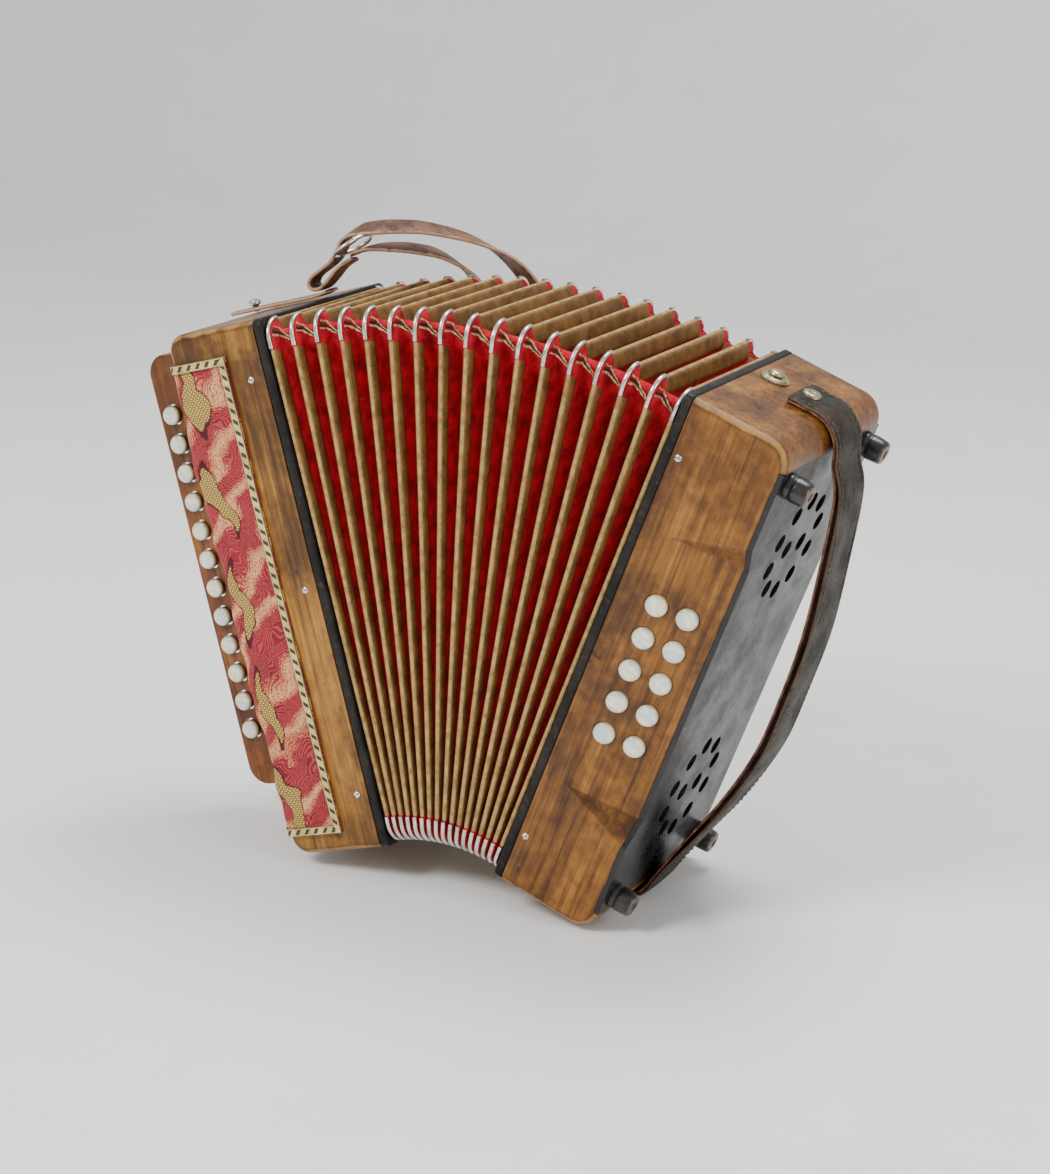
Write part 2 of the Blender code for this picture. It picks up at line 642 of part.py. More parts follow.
def stand_on_ground(root):
    """Moves the object so that its box's bottom centre is the origin."""
    bpy.context.view_layer.update()
    graph = bpy.context.evaluated_depsgraph_get()
    corners = []
    for part in parts.objects:
        if part.type == "EMPTY":
            continue
        solid = part.evaluated_get(graph)
        mesh = solid.to_mesh()
        corners += [solid.matrix_world @ corner.co for corner in mesh.vertices]
        solid.to_mesh_clear()
    low = Vector([min(corner[axis] for corner in corners) for axis in range(3)])
    high = Vector([max(corner[axis] for corner in corners) for axis in range(3)])
    root.location = -Vector(((low.x + high.x) / 2, (low.y + high.y) / 2, low.z))
    bpy.context.view_layer.update()


for old in list(bpy.data.objects):
    bpy.data.objects.remove(old)
parts = new_collection("button_accordion")
cutters = new_collection("cutters")
cutters.hide_render = True

wood = new_material("walnut", (0.23, 0.11, 0.045), 0.4)
bare_wood = new_material("bare_spruce", (0.55, 0.40, 0.24), 0.7)
black = new_material("black_lacquer", (0.012, 0.011, 0.010), 0.35)
card = new_material("gold_bellows_tape", (0.33, 0.23, 0.09), 0.6)
brocade = new_material("red_brocade", (0.40, 0.04, 0.05), 0.85)
gold_tape = new_material("gold_braid", (0.62, 0.50, 0.24), 0.7)
pearl = new_material("pearl", (0.86, 0.84, 0.79), 0.25)
leather = new_material("brown_leather", (0.10, 0.05, 0.032), 0.6)
steel = new_material("nickel_wire", (0.62, 0.60, 0.56), 0.3, 1.0)
brass = new_material("aged_brass", (0.50, 0.40, 0.22), 0.4, 1.0)

root = new_empty("accordion")
treble = new_empty("treble_side", root, turn_y=-TREBLE_LEAN)
make_treble_case(treble)
frame_ring("treble_frame", PLAY + (FRAME_THICK - PLAY) / 2, treble, FRAME_THICK - PLAY, 0, FRAME_BORDER, 0.003)
make_grille(treble)
make_fingerboard(treble)
make_key_axle(treble)
make_keys(treble)
make_treble_reed_block(treble)
make_shoulder_strap(treble)
make_buckle(treble)
bass = make_bellows(treble)
frame_ring("bass_frame", -PLAY - (FRAME_THICK - PLAY) / 2, bass, FRAME_THICK - PLAY, 0, FRAME_BORDER, 0.003)
make_bass_case(bass)
make_bass_end_plate(bass)
make_bass_buttons(bass)
make_bass_reed_block(bass)
make_feet(bass)
make_hand_strap(bass)
make_air_stud(bass)
stand_on_ground(root)
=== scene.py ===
"""The look of a small diatonic button accordion, stood up with its bellows fanned open."""
import json
import math

import bpy
import numpy as np
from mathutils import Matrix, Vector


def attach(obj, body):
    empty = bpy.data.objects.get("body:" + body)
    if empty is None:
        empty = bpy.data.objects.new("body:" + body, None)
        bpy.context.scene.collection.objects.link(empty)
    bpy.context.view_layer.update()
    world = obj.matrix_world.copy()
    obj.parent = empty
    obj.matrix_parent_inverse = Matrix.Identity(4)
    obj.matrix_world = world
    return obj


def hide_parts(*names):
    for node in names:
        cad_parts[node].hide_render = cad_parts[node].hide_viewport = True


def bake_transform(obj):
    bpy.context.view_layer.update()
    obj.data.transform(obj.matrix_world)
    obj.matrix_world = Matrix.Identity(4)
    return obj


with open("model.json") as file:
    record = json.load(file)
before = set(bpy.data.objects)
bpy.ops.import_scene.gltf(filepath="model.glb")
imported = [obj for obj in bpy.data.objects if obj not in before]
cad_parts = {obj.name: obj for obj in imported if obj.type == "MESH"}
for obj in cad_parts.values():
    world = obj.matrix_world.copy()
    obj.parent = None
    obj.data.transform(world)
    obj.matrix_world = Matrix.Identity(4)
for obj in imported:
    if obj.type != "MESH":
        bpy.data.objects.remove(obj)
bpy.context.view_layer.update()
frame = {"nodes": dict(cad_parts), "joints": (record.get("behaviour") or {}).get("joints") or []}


# ---- Bench: the two sides and the folds ----------------------------------------------------
# Each side is built square: x runs along the bellows, y to the back, z up the casing. The treble
# side leans one way and the bass side the other, with the folds fanned evenly between them.
HEIGHT, DEPTH = 0.300, 0.130
SIDE_TO_HINGE = 0.0095
FOLD_PITCH = 0.0039
FOLDS = 17
joints = {joint["name"]: joint for joint in frame["joints"]}
fold_turn = -math.radians(joints["bellows_01"]["range_deg"][0])
down_keys = joints["press_key_01"]["axis"]
treble_lean = math.atan2(-down_keys[0], -down_keys[2])
bass_lean = treble_lean + (FOLDS - 1) * fold_turn
hinges = [np.array(joints[f"bellows_{row:02d}"]["pos_m"]) for row in range(1, FOLDS)]


def placed(points, origin, lean):
    """Turns points by the lean about Y, x cos + z sin and z cos - x sin, then adds the origin."""
    x, y, z = np.moveaxis(np.asarray(points, float), -1, 0)
    cos, sin = math.cos(lean), math.sin(lean)
    return np.stack([cos * x + sin * z, y, cos * z - sin * x], -1) + origin


treble_origin = placed((-SIDE_TO_HINGE, -DEPTH / 2, 0), hinges[0], treble_lean)
bass_origin = placed((SIDE_TO_HINGE, -DEPTH / 2, 0), hinges[-1], bass_lean)


# ---- Casings: two walnut boxes ---------------------------------------------------------------
# Each casing is walnut with rounded outer corners and edges, French polished and since worn
# through to pale wood along the rims. The bass casing has a sloping recess for the fingers.
TREBLE_WIDTH, BASS_WIDTH = 0.0591, 0.0582
WALL, BASS_FRONT_WALL = 0.006, 0.018
TREBLE_CORNER, BASS_CORNER = 0.010, 0.014
RIM = 0.0042
RECESS_START, RECESS_SLOPE = 0.0138, math.radians(12.5)
RECESS_HALF, RECESS_SHOULDER = 0.077, 0.016
PLATE_SEAT = 0.0552


def add(tree, kind, inputs=None, **settings):
    """A shader node with its settings, and inputs that are values or other nodes' outputs."""
    made = tree.nodes.new("ShaderNode" + kind)
    for name, value in settings.items():
        setattr(made, name, value)
    for name, value in (inputs or {}).items():
        if isinstance(value, bpy.types.NodeSocket):
            tree.links.new(value, made.inputs[name])
        else:
            made.inputs[name].default_value = value
    return made


def rgba(colour):
    return (*colour, 1) if len(colour) == 3 else colour


def blended(tree, factor, first, second):
    """Mixes two colours, each a socket or three numbers."""
    sockets = {0: factor}
    for slot, colour in ((6, first), (7, second)):
        sockets[slot] = colour if isinstance(colour, bpy.types.NodeSocket) else rgba(colour)
    return add(tree, "Mix", sockets, data_type="RGBA").outputs[2]


def calc(tree, operation, first, second=0.0):
    return add(tree, "Math", {0: first, 1: second}, operation=operation).outputs[0]


def between(tree, value, low, high):
    """0 below low, 1 above high, smooth between."""
    sockets = {"Value": value, "From Min": low, "From Max": high}
    return add(tree, "MapRange", sockets, interpolation_type="SMOOTHSTEP").outputs[0]


def speckle(tree, vector, scale, detail=4.0, rough=0.55, twist=0.0):
    sockets = {"Vector": vector, "Scale": scale, "Detail": detail, "Roughness": rough, "Distortion": twist}
    return add(tree, "TexNoise", sockets).outputs["Fac"]


def stretched(tree, vector, scale, turn=0.0):
    """Scales a vector along its axes, turned about Y first."""
    sockets = {"Vector": vector, "Rotation": (0, -turn, 0)}
    upright = add(tree, "Mapping", sockets).outputs[0]
    return add(tree, "VectorMath", {0: upright, 1: scale}, operation="MULTIPLY").outputs[0]


def new_group(name, inputs, outputs):
    """A node group with named sockets: returns it, its input sockets and its output node."""
    tree = bpy.data.node_groups.new(name, "ShaderNodeTree")
    for label, kind, value in inputs:
        socket = tree.interface.new_socket(name=label, in_out="INPUT", socket_type="NodeSocket" + kind)
        if value is not None:
            socket.default_value = rgba(value) if kind == "Color" else value
    for label, kind in outputs:
        tree.interface.new_socket(name=label, in_out="OUTPUT", socket_type="NodeSocket" + kind)
    return tree, tree.nodes.new("NodeGroupInput").outputs, tree.nodes.new("NodeGroupOutput")


def use(tree, group, inputs):
    made = tree.nodes.new("ShaderNodeGroup")
    made.node_tree = group
    for name, value in inputs.items():
        if isinstance(value, bpy.types.NodeSocket):
            tree.links.new(value, made.inputs[name])
        else:
            made.inputs[name].default_value = rgba(value) if isinstance(value, tuple) else value
    return made.outputs


def make_mottle():
    """Two colours clouded into each other at two scales."""
    tree, given, out = new_group(
        "mottle",
        [("Vector", "Vector", None), ("Scale", "Float", 40.0), ("Dark", "Color", (0, 0, 0)),
         ("Light", "Color", (1, 1, 1)), ("Low", "Float", 0.35), ("High", "Float", 0.65)],
        [("Color", "Color"), ("Mask", "Float")],
    )
    broad = speckle(tree, given["Vector"], given["Scale"], 3)
    fine = speckle(tree, given["Vector"], calc(tree, "MULTIPLY", given["Scale"], 6.3), 4)
    cloud = calc(tree, "ADD", calc(tree, "MULTIPLY", broad, 0.68), calc(tree, "MULTIPLY", fine, 0.32))
    mask = between(tree, cloud, given["Low"], given["High"])
    tree.links.new(mask, out.inputs["Mask"])
    tree.links.new(blended(tree, mask, given["Dark"], given["Light"]), out.inputs["Color"])
    return tree


def make_rubbing():
    """Breaks an edge mask up with noise, so that wear comes in patches."""
    tree, given, out = new_group(
        "rubbing",
        [("Vector", "Vector", None), ("Edge", "Float", 0.0), ("Scale", "Float", 120.0), ("Amount", "Float", 0.5)],
        [("Mask", "Float")],
    )
    patches = speckle(tree, given["Vector"], given["Scale"], 6, 0.65)
    reach = calc(tree, "ADD", calc(tree, "MULTIPLY", given["Edge"], given["Amount"]), patches)
    tree.links.new(between(tree, reach, 0.72, 0.98), out.inputs["Mask"])
    return tree


def make_wood_grain():
    """Long streaks, broad figure and short dark pores, all along Z."""
    tree, given, out = new_group(
        "wood_grain",
        [("Vector", "Vector", None), ("Dark", "Color", (0, 0, 0)), ("Middle", "Color", (0.5, 0.5, 0.5)),
         ("Light", "Color", (1, 1, 1))],
        [("Color", "Color"), ("Height", "Float")],
    )
    streaks = speckle(tree, stretched(tree, given["Vector"], (420, 420, 14)), 1.0, 5, 0.6, 0.3)
    figure = speckle(tree, stretched(tree, given["Vector"], (70, 70, 9)), 1.0, 4, 0.55, 0.8)
    pores = speckle(tree, stretched(tree, given["Vector"], (1500, 1500, 90)), 1.0, 2, 0.5)
    tone = calc(tree, "ADD", calc(tree, "MULTIPLY", streaks, 0.5), calc(tree, "MULTIPLY", figure, 0.5))
    low = blended(tree, between(tree, tone, 0.33, 0.52), given["Dark"], given["Middle"])
    body = blended(tree, between(tree, tone, 0.48, 0.68), low, given["Light"])
    pore = between(tree, pores, 0.62, 0.72)
    colour = blended(tree, calc(tree, "MULTIPLY", pore, 0.55), body, given["Dark"])
    tree.links.new(colour, out.inputs["Color"])
    tree.links.new(calc(tree, "SUBTRACT", streaks, pore), out.inputs["Height"])
    return tree


MOTTLE = make_mottle()
RUBBING = make_rubbing()
GRAIN = make_wood_grain()


def new_material(name, roughness, metallic=0.0, **plain):
    """A Principled material: returns it, its tree and its shader. Plain names a socket's value."""
    made = bpy.data.materials.new(name)
    made.use_nodes = True
    tree = made.node_tree
    shader = tree.nodes["Principled BSDF"]
    shader.inputs["Roughness"].default_value = roughness
    shader.inputs["Metallic"].default_value = metallic
    for label, value in plain.items():
        shader.inputs[label.replace("_", " ")].default_value = value
    return made, tree, shader


def object_coordinates(tree):
    return add(tree, "TexCoord").outputs["Object"]


def paint(tree, shader, colour=None, roughness=None, height=None, bump=0.0002, strength=0.6):
    """Joins worked-out colour, roughness and relief to the shader."""
    if colour is not None:
        tree.links.new(colour, shader.inputs["Base Color"])
    if roughness is not None:
        tree.links.new(roughness, shader.inputs["Roughness"])
    if height is not None:
        relief = add(tree, "Bump", {"Height": height, "Strength": strength, "Distance": bump})
        tree.links.new(relief.outputs[0], shader.inputs["Normal"])


def spread(tree, mask, low, high):
    """Turns a mask into a value that runs from low to high."""
    return add(tree, "MapRange", {"Value": mask, "To Min": low, "To Max": high}).outputs[0]


def make_walnut(name, lean, dark, middle, light):
    """Polished walnut: grain along the casing, stained by hands, with its edges rubbed pale. It is darkened where
    its casing marks it, as grime with painted shade, and painted shade darkens its rounded rims.
    """
    made, tree, shader = new_material(name, 0.45, Coat_Weight=0.16, Coat_Roughness=0.30,
                                      Specular_IOR_Level=0.25)
    spot = object_coordinates(tree)
    upright = add(tree, "Mapping", {"Vector": spot, "Rotation": (0, -lean, 0)}).outputs[0]
    grain = use(tree, GRAIN, {"Vector": upright, "Dark": dark, "Middle": middle, "Light": light})
    stain = use(tree, MOTTLE, {"Vector": spot, "Scale": 24.0, "Dark": (0.50, 0.42, 0.34),
                               "Light": (1.3, 1.24, 1.15), "Low": 0.38, "High": 0.62})
    varied = add(tree, "Mix", {0: 0.9, 6: grain["Color"], 7: stain["Color"]}, data_type="RGBA",
                 blend_type="MULTIPLY").outputs[2]
    edge = add(tree, "Attribute", attribute_name="worn").outputs["Fac"]
    shade_and_grime = add(tree, "Attribute", attribute_name="grime_and_shade").outputs["Fac"]
    # Grime and painted shade: the wood darkens towards near black-brown where the casing marks it.
    uneven = calc(tree, "MULTIPLY", shade_and_grime, spread(tree, stain["Mask"], 1.0, 0.45))
    varied = blended(tree, calc(tree, "MULTIPLY", uneven, 0.75), varied, (0.040, 0.013, 0.004))
    shaded = calc(tree, "MULTIPLY", between(tree, edge, 0.02, 0.5), 0.5)
    varied = blended(tree, shaded, varied, (0.045, 0.015, 0.004))
    worn = use(tree, RUBBING, {"Vector": upright, "Edge": edge, "Scale": 90.0, "Amount": 0.46})["Mask"]
    scuffs = use(tree, RUBBING, {"Vector": stretched(tree, upright, (1, 1, 0.35)), "Edge": 0.10,
                                 "Scale": 260.0, "Amount": 1.0})["Mask"]
    pale = blended(tree, calc(tree, "MULTIPLY", worn, 0.7), varied, (0.44, 0.23, 0.075))
    marked = blended(tree, calc(tree, "MULTIPLY", scuffs, 0.35), pale, (0.48, 0.30, 0.14))
    dents = use(tree, MOTTLE, {"Vector": spot, "Scale": 60.0, "Low": 0.30, "High": 0.36})["Mask"]
    dented = blended(tree, calc(tree, "SUBTRACT", 1.0, dents), marked, (0.030, 0.012, 0.005))
    paint(tree, shader, dented, spread(tree, worn, 0.38, 0.62), grain["Height"], 0.00012, 0.35)
    return made


treble_walnut = make_walnut("treble_walnut", treble_lean, (0.075, 0.028, 0.004), (0.245, 0.112, 0.017),
                            (0.43, 0.225, 0.042))
bass_walnut = make_walnut("bass_walnut", bass_lean, (0.055, 0.019, 0.003), (0.195, 0.078, 0.011),
                          (0.34, 0.155, 0.026))
board_walnut = make_walnut("board_walnut", treble_lean, (0.055, 0.016, 0.004), (0.185, 0.062, 0.012),
                           (0.30, 0.112, 0.024))


def ticks(*stops):
    """Coordinates along an edge, from (value, steps, value, steps, ... value)."""
    runs = [np.linspace(stops[i], stops[i + 2], stops[i + 1], endpoint=False)
            for i in range(0, len(stops) - 2, 2)]
    return np.concatenate([*runs, [stops[-1]]])


def grid_faces(rows, columns, round_rows=False, round_columns=False):
    """Quads between neighbours on a grid of points, closing it round where asked."""
    row = np.arange(rows if round_rows else rows - 1)
    column = np.arange(columns if round_columns else columns - 1)
    row, column = np.meshgrid(row, column, indexing="ij")
    below, beside = (row + 1) % rows, (column + 1) % columns
    corners = [row * columns + column, row * columns + beside,
               below * columns + beside, below * columns + column]
    return np.stack(corners, -1).reshape(-1, 4)


def box_skin(grids):
    """The six gridded faces of a box as one closed skin, facing outwards."""
    points, faces, start = [], [], 0
    for axis in range(3):
        first, second = [other for other in range(3) if other != axis]
        across, up = np.meshgrid(grids[first], grids[second], indexing="ij")
        for side in (0, -1):
            sheet = np.empty((*across.shape, 3))
            sheet[..., axis] = grids[axis][side]
            sheet[..., first], sheet[..., second] = across, up
            quads = grid_faces(*across.shape) + start
            faces.append(quads[:, ::-1] if (axis != 1) == (side == -1) else quads)
            points.append(sheet.reshape(-1, 3))
            start += sheet.shape[0] * sheet.shape[1]
    points, index = np.unique(np.round(np.vstack(points), 7), axis=0, return_inverse=True)
    return points, index.reshape(-1)[np.vstack(faces)]


def unit(vectors):
    return vectors / np.maximum(np.linalg.norm(vectors, axis=-1, keepdims=True), 1e-12)


def rounded_block(grids, rim, corner, outer):
    """Rounds a box: its two outer corners by one radius, and its front and back rims by another.

    A point is drawn to the nearest place on the core, then pushed out from it by the rim's
    radius. Also returns how far each point is round a rim, 1 in its middle.
    """
    points, faces = box_skin(grids)
    low, high = points.min(0), points.max(0)
    x, y, z = points.T
    core_x = np.clip(x, low[0] + corner * (outer < 0), high[0] - corner * (outer > 0))
    core_z = np.clip(z, low[2] + corner, high[2] - corner)
    away = np.stack([x - core_x, z - core_z], -1)
    reach = np.maximum(np.linalg.norm(away, axis=-1), 1e-12)
    held = np.minimum(reach, corner - rim) / reach
    near_x, near_z = core_x + away[:, 0] * held, core_z + away[:, 1] * held
    near_y = np.clip(y, low[1] + rim, high[1] - rim)
    push = unit(np.stack([x - near_x, y - near_y, z - near_z], -1))
    round_rim = 2 * np.abs(push[:, 1]) * np.hypot(push[:, 0], push[:, 2])
    return np.stack([near_x, near_y, near_z], -1) + rim * push, faces, round_rim


def mark(piece, name, values):
    """Keeps a number for each of a piece's points, for its material."""
    numbers = piece.data.attributes.new(name, "FLOAT", "POINT").data
    numbers.foreach_set("value", np.ravel(values).astype(np.float32))


def cut_away(piece, points, faces):
    """Cuts a shape out of a piece and settles the result into its mesh."""
    mesh = bpy.data.meshes.new("cutter")
    mesh.from_pydata(np.asarray(points).reshape(-1, 3), [], faces)
    cutter = bpy.data.objects.new("cutter", mesh)
    bpy.context.scene.collection.objects.link(cutter)
    modifier = piece.modifiers.new("cut", "BOOLEAN")
    modifier.object = cutter
    modifier.operation = "DIFFERENCE"
    settle(piece)
    bpy.data.objects.remove(cutter)


def settle(piece):
    """Applies a piece's modifiers."""
    bpy.context.view_layer.update()
    graph = bpy.context.evaluated_depsgraph_get()
    mesh = bpy.data.meshes.new_from_object(piece.evaluated_get(graph))
    piece.modifiers.clear()
    piece.data = mesh


RIM_TICKS = (0, 6, RIM, 10, DEPTH - RIM, 6, DEPTH)


def box_between(low, high):
    return box_skin([np.array([low[axis], high[axis]]) for axis in range(3)])


def on_treble(points):
    return placed(points, treble_origin, treble_lean)


def new_piece(name, points, faces, material, uv=None, sharp=40):
    """A mesh object at the origin, smooth but for edges sharper than the angle in degrees."""
    mesh = bpy.data.meshes.new(name)
    faces = faces.tolist() if isinstance(faces, np.ndarray) else faces
    mesh.from_pydata(np.asarray(points).reshape(-1, 3), [], faces)
    mesh.validate()
    if uv is not None:
        corners = np.empty(len(mesh.loops), int)
        mesh.loops.foreach_get("vertex_index", corners)
        layer = mesh.uv_layers.new(name="UVMap")
        layer.data.foreach_set("uv", np.asarray(uv, np.float32).reshape(-1, 2)[corners].ravel())
    mesh.shade_smooth()
    mesh.set_sharp_from_angle(angle=math.radians(sharp))
    piece = bpy.data.objects.new(name, mesh)
    bpy.context.scene.collection.objects.link(piece)
    mesh.materials.append(material)
    return piece


def fit(piece, body, slot, *nodes):
    """Rides on a body and stands in for the CAD nodes, which it hides; its slot is not used."""
    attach(piece, body)
    if nodes:
        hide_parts(*nodes)
    return piece


def make_treble_casing():
    grids = [
        ticks(-TREBLE_WIDTH, 12, TREBLE_CORNER - TREBLE_WIDTH, 8, 0),
        ticks(*RIM_TICKS),
        ticks(0, 12, TREBLE_CORNER, 40, HEIGHT - TREBLE_CORNER, 12, HEIGHT),
    ]
    points, faces, worn = rounded_block(grids, RIM, TREBLE_CORNER, -1)
    casing = new_piece("treble_casing", on_treble(points), faces, treble_walnut)
    mark(casing, "worn", worn)
    x, _, z = points.T
    # Marks the casing darker towards the top and next to the frame.
    by_top, by_frame = np.exp(-((HEIGHT - z) / 0.030) ** 2), np.exp(-((x + 0.003) / 0.008) ** 2)
    mark(casing, "grime_and_shade", 0.9 * by_top + 0.6 * by_frame)
    hollow = box_between((WALL - TREBLE_WIDTH, WALL, WALL), (0.01, DEPTH - WALL, HEIGHT - WALL))
    slot = box_between((-0.080, 0.0705, 0.052), (-0.045, 0.0810, 0.262))
    for points, faces in (hollow, slot):
        cut_away(casing, on_treble(points), faces.tolist())
    return fit(casing, "treble_side", "walnut", "treble_case")


def recess_depth(x, z):
    """How deep the finger recess is: it deepens outwards and ramps up at its two shoulders.

    Also says where the shoulders are: 1 on the upper one, -1 on the lower one, 0 elsewhere.
    """
    out = np.maximum(x - RECESS_START, 0)
    spread_out = np.maximum(RECESS_SHOULDER * out / (BASS_WIDTH - RECESS_START), 1e-6)
    past = (np.abs(z - HEIGHT / 2) - RECESS_HALF) / spread_out
    ramp = np.clip(1 - past, 0, 1)
    shoulder = ((ramp > 0.02) & (ramp < 0.98) & (out > 0.002)) * np.sign(z - HEIGHT / 2)
    eased = (ramp + ramp * ramp * (3 - 2 * ramp)) / 2
    return out * math.tan(RECESS_SLOPE) * eased, shoulder


BASS_COLUMNS, BASS_ROWS, BASS_ROW_PITCH = (0.0222, 0.0391), 5, 0.0198
BASS_HOLE = 0.0066
recess_out = np.array([math.sin(RECESS_SLOPE), -math.cos(RECESS_SLOPE), 0])


def bass_button_places():
    """Where each bass button's axis meets the sloping floor, as (x, y, z) rows."""
    rows = HEIGHT / 2 + (np.arange(BASS_ROWS) - (BASS_ROWS - 1) / 2) * BASS_ROW_PITCH
    return [np.array([x, (x - RECESS_START) * math.tan(RECESS_SLOPE), z]) for x in BASS_COLUMNS for z in rows]


def on_bass(points):
    return placed(points, bass_origin, bass_lean)


def turned(profile, centre, axis, sides=40):
    """Spins (radius, height) pairs, from the tip down, about an axis. Ends are closed."""
    profile = np.array(profile, float)
    profile[:, 0] = np.maximum(profile[:, 0], 0.00004)
    axis = unit(np.asarray(axis, float))
    first = unit(np.cross(axis, (0.3, 1, 0.2)))
    second = np.cross(axis, first)
    angle = 2 * np.pi * np.arange(sides) / sides
    spokes = np.cos(angle)[:, None] * first + np.sin(angle)[:, None] * second
    points = centre + profile[:, None, :1] * spokes + profile[:, None, 1:] * axis
    rows = len(profile)
    faces = grid_faces(rows, sides, False, True)[:, ::-1].tolist()
    faces += [list(range(sides)), list(range(rows * sides - 1, (rows - 1) * sides - 1, -1))]
    return points, faces


def joined(shapes):
    """Several (points, faces) shapes as one."""
    points, faces, start = [], [], 0
    for shape_points, shape_faces in shapes:
        flat = np.asarray(shape_points).reshape(-1, 3)
        points.append(flat)
        faces += [[corner + start for corner in face] for face in shape_faces]
        start += len(flat)
    return np.vstack(points), faces


def make_bass_casing():
    middle = HEIGHT / 2
    recess_end = RECESS_HALF + RECESS_SHOULDER + 0.002
    lower, upper = middle - recess_end, middle + recess_end
    foot, head = middle - RECESS_HALF + 0.003, middle + RECESS_HALF - 0.003
    seat_low, seat_high = BASS_CORNER - 0.0002, HEIGHT - BASS_CORNER + 0.0002
    grids = [
        ticks(0, 6, 0.012, 56, PLATE_SEAT - 0.001, 10, BASS_WIDTH),
        ticks(*RIM_TICKS),
        ticks(0, 14, seat_low, 1, seat_low + 0.0003, 22, lower, 30, foot, 30, head, 30, upper, 22,
              seat_high - 0.0003, 1, seat_high, 14, HEIGHT),
    ]
    points, faces, worn = rounded_block(grids, RIM, BASS_CORNER, 1)
    x, y, z = points.T
    depth, shoulder = recess_depth(x, z)
    buttons = np.array(bass_button_places())[:, ::2]
    near = np.linalg.norm(np.stack([x, z], -1)[:, None] - buttons, axis=-1).min(1)
    # Marks the casing darker round the button wells, as finger grime with painted shade, and next to the frame.
    grime_and_shade = np.exp(-(near / 0.0125) ** 2) * (y < RIM) + 0.5 * np.exp(-((x - 0.004) / 0.006) ** 2)
    # Painted light on the recess shoulders: the lower one is marked for full painted shade, and the upper one's
    # worn value is raised so that its pale rubbing stands in for a painted highlight.
    front = y < 0.03
    grime_and_shade = np.where(front & (shoulder < 0), 1.0, grime_and_shade)
    worn = np.where(front & (shoulder > 0), np.maximum(worn, 0.30), worn)
    y = y + depth * np.clip(1 - y / 0.06, 0, 1)
    seat = (x > PLATE_SEAT) & (z > seat_low + 0.0001) & (z < seat_high - 0.0001)
    x = np.where(seat, PLATE_SEAT, x)
    casing = new_piece("bass_casing", on_bass(np.stack([x, y, z], -1)), faces, bass_walnut, sharp=50)
    mark(casing, "worn", worn)
    mark(casing, "grime_and_shade", grime_and_shade)
    wells = [turned([(BASS_HOLE, 0.02), (BASS_HOLE, -0.03)], on_bass(place), turn_bass(recess_out), 28)
             for place in bass_button_places()]
    cut_away(casing, *joined(wells))
    hollow = box_between((-0.01, BASS_FRONT_WALL, WALL), (PLATE_SEAT - 0.005, DEPTH - WALL, HEIGHT - WALL))
    mouth = box_between((PLATE_SEAT - 0.01, BASS_FRONT_WALL, BASS_CORNER + 0.012),
                        (0.08, DEPTH - WALL, HEIGHT - BASS_CORNER - 0.012))
    for points, faces in (hollow, mouth):
        cut_away(casing, on_bass(points), faces.tolist())
    return fit(casing, "bass_side", "walnut", "bass_case")


def turn_bass(direction):
    return placed(direction, 0, bass_lean)


def turn_treble(direction):
    return placed(direction, 0, treble_lean)


make_treble_casing()
make_bass_casing()


# ---- Frames: black lacquered rings where the bellows join ------------------------------------
# A thin hardwood frame is glued round each end of the bellows and let into its casing. Both are
# lacquered black and rubbed brown at the edges; their small nail heads are not drawn.
FRAME_MIDDLE, FRAME_HALF, FRAME_BORDER, FRAME_CORNER = 0.0029, 0.0026, 0.011, 0.004


def make_lacquer(name, specular):
    """Black spirit lacquer: worn brown on its edges, dusty and scratched along the wood."""
    made, tree, shader = new_material(name, 0.33, Specular_IOR_Level=specular)
    spot = object_coordinates(tree)
    ground = use(tree, MOTTLE, {"Vector": spot, "Scale": 45.0, "Dark": (0.006, 0.006, 0.006),
                                "Light": (0.024, 0.021, 0.018), "Low": 0.35, "High": 0.7})
    edge = add(tree, "Attribute", attribute_name="worn").outputs["Fac"]
    worn = use(tree, RUBBING, {"Vector": spot, "Edge": edge, "Scale": 240.0, "Amount": 0.20})["Mask"]
    specks = use(tree, RUBBING, {"Vector": spot, "Edge": 0.02, "Scale": 420.0, "Amount": 1.0})["Mask"]
    chipped = blended(tree, calc(tree, "MULTIPLY", worn, 0.6), ground["Color"], (0.10, 0.060, 0.035))
    dusty = blended(tree, calc(tree, "MULTIPLY", specks, 0.25), chipped, (0.18, 0.16, 0.14))
    streaks = speckle(tree, stretched(tree, spot, (900, 900, 40), bass_lean), 1.0, 3)
    paint(tree, shader, dusty, spread(tree, ground["Mask"], 0.26, 0.48), streaks, 0.00008, 0.4)
    return made


lacquer = make_lacquer("black_lacquer", 0.42)
frame_lacquer = make_lacquer("frame_lacquer", 0.15)


CORNER_SIDES = np.array([(-1, -1), (1, -1), (1, 1), (-1, 1)])


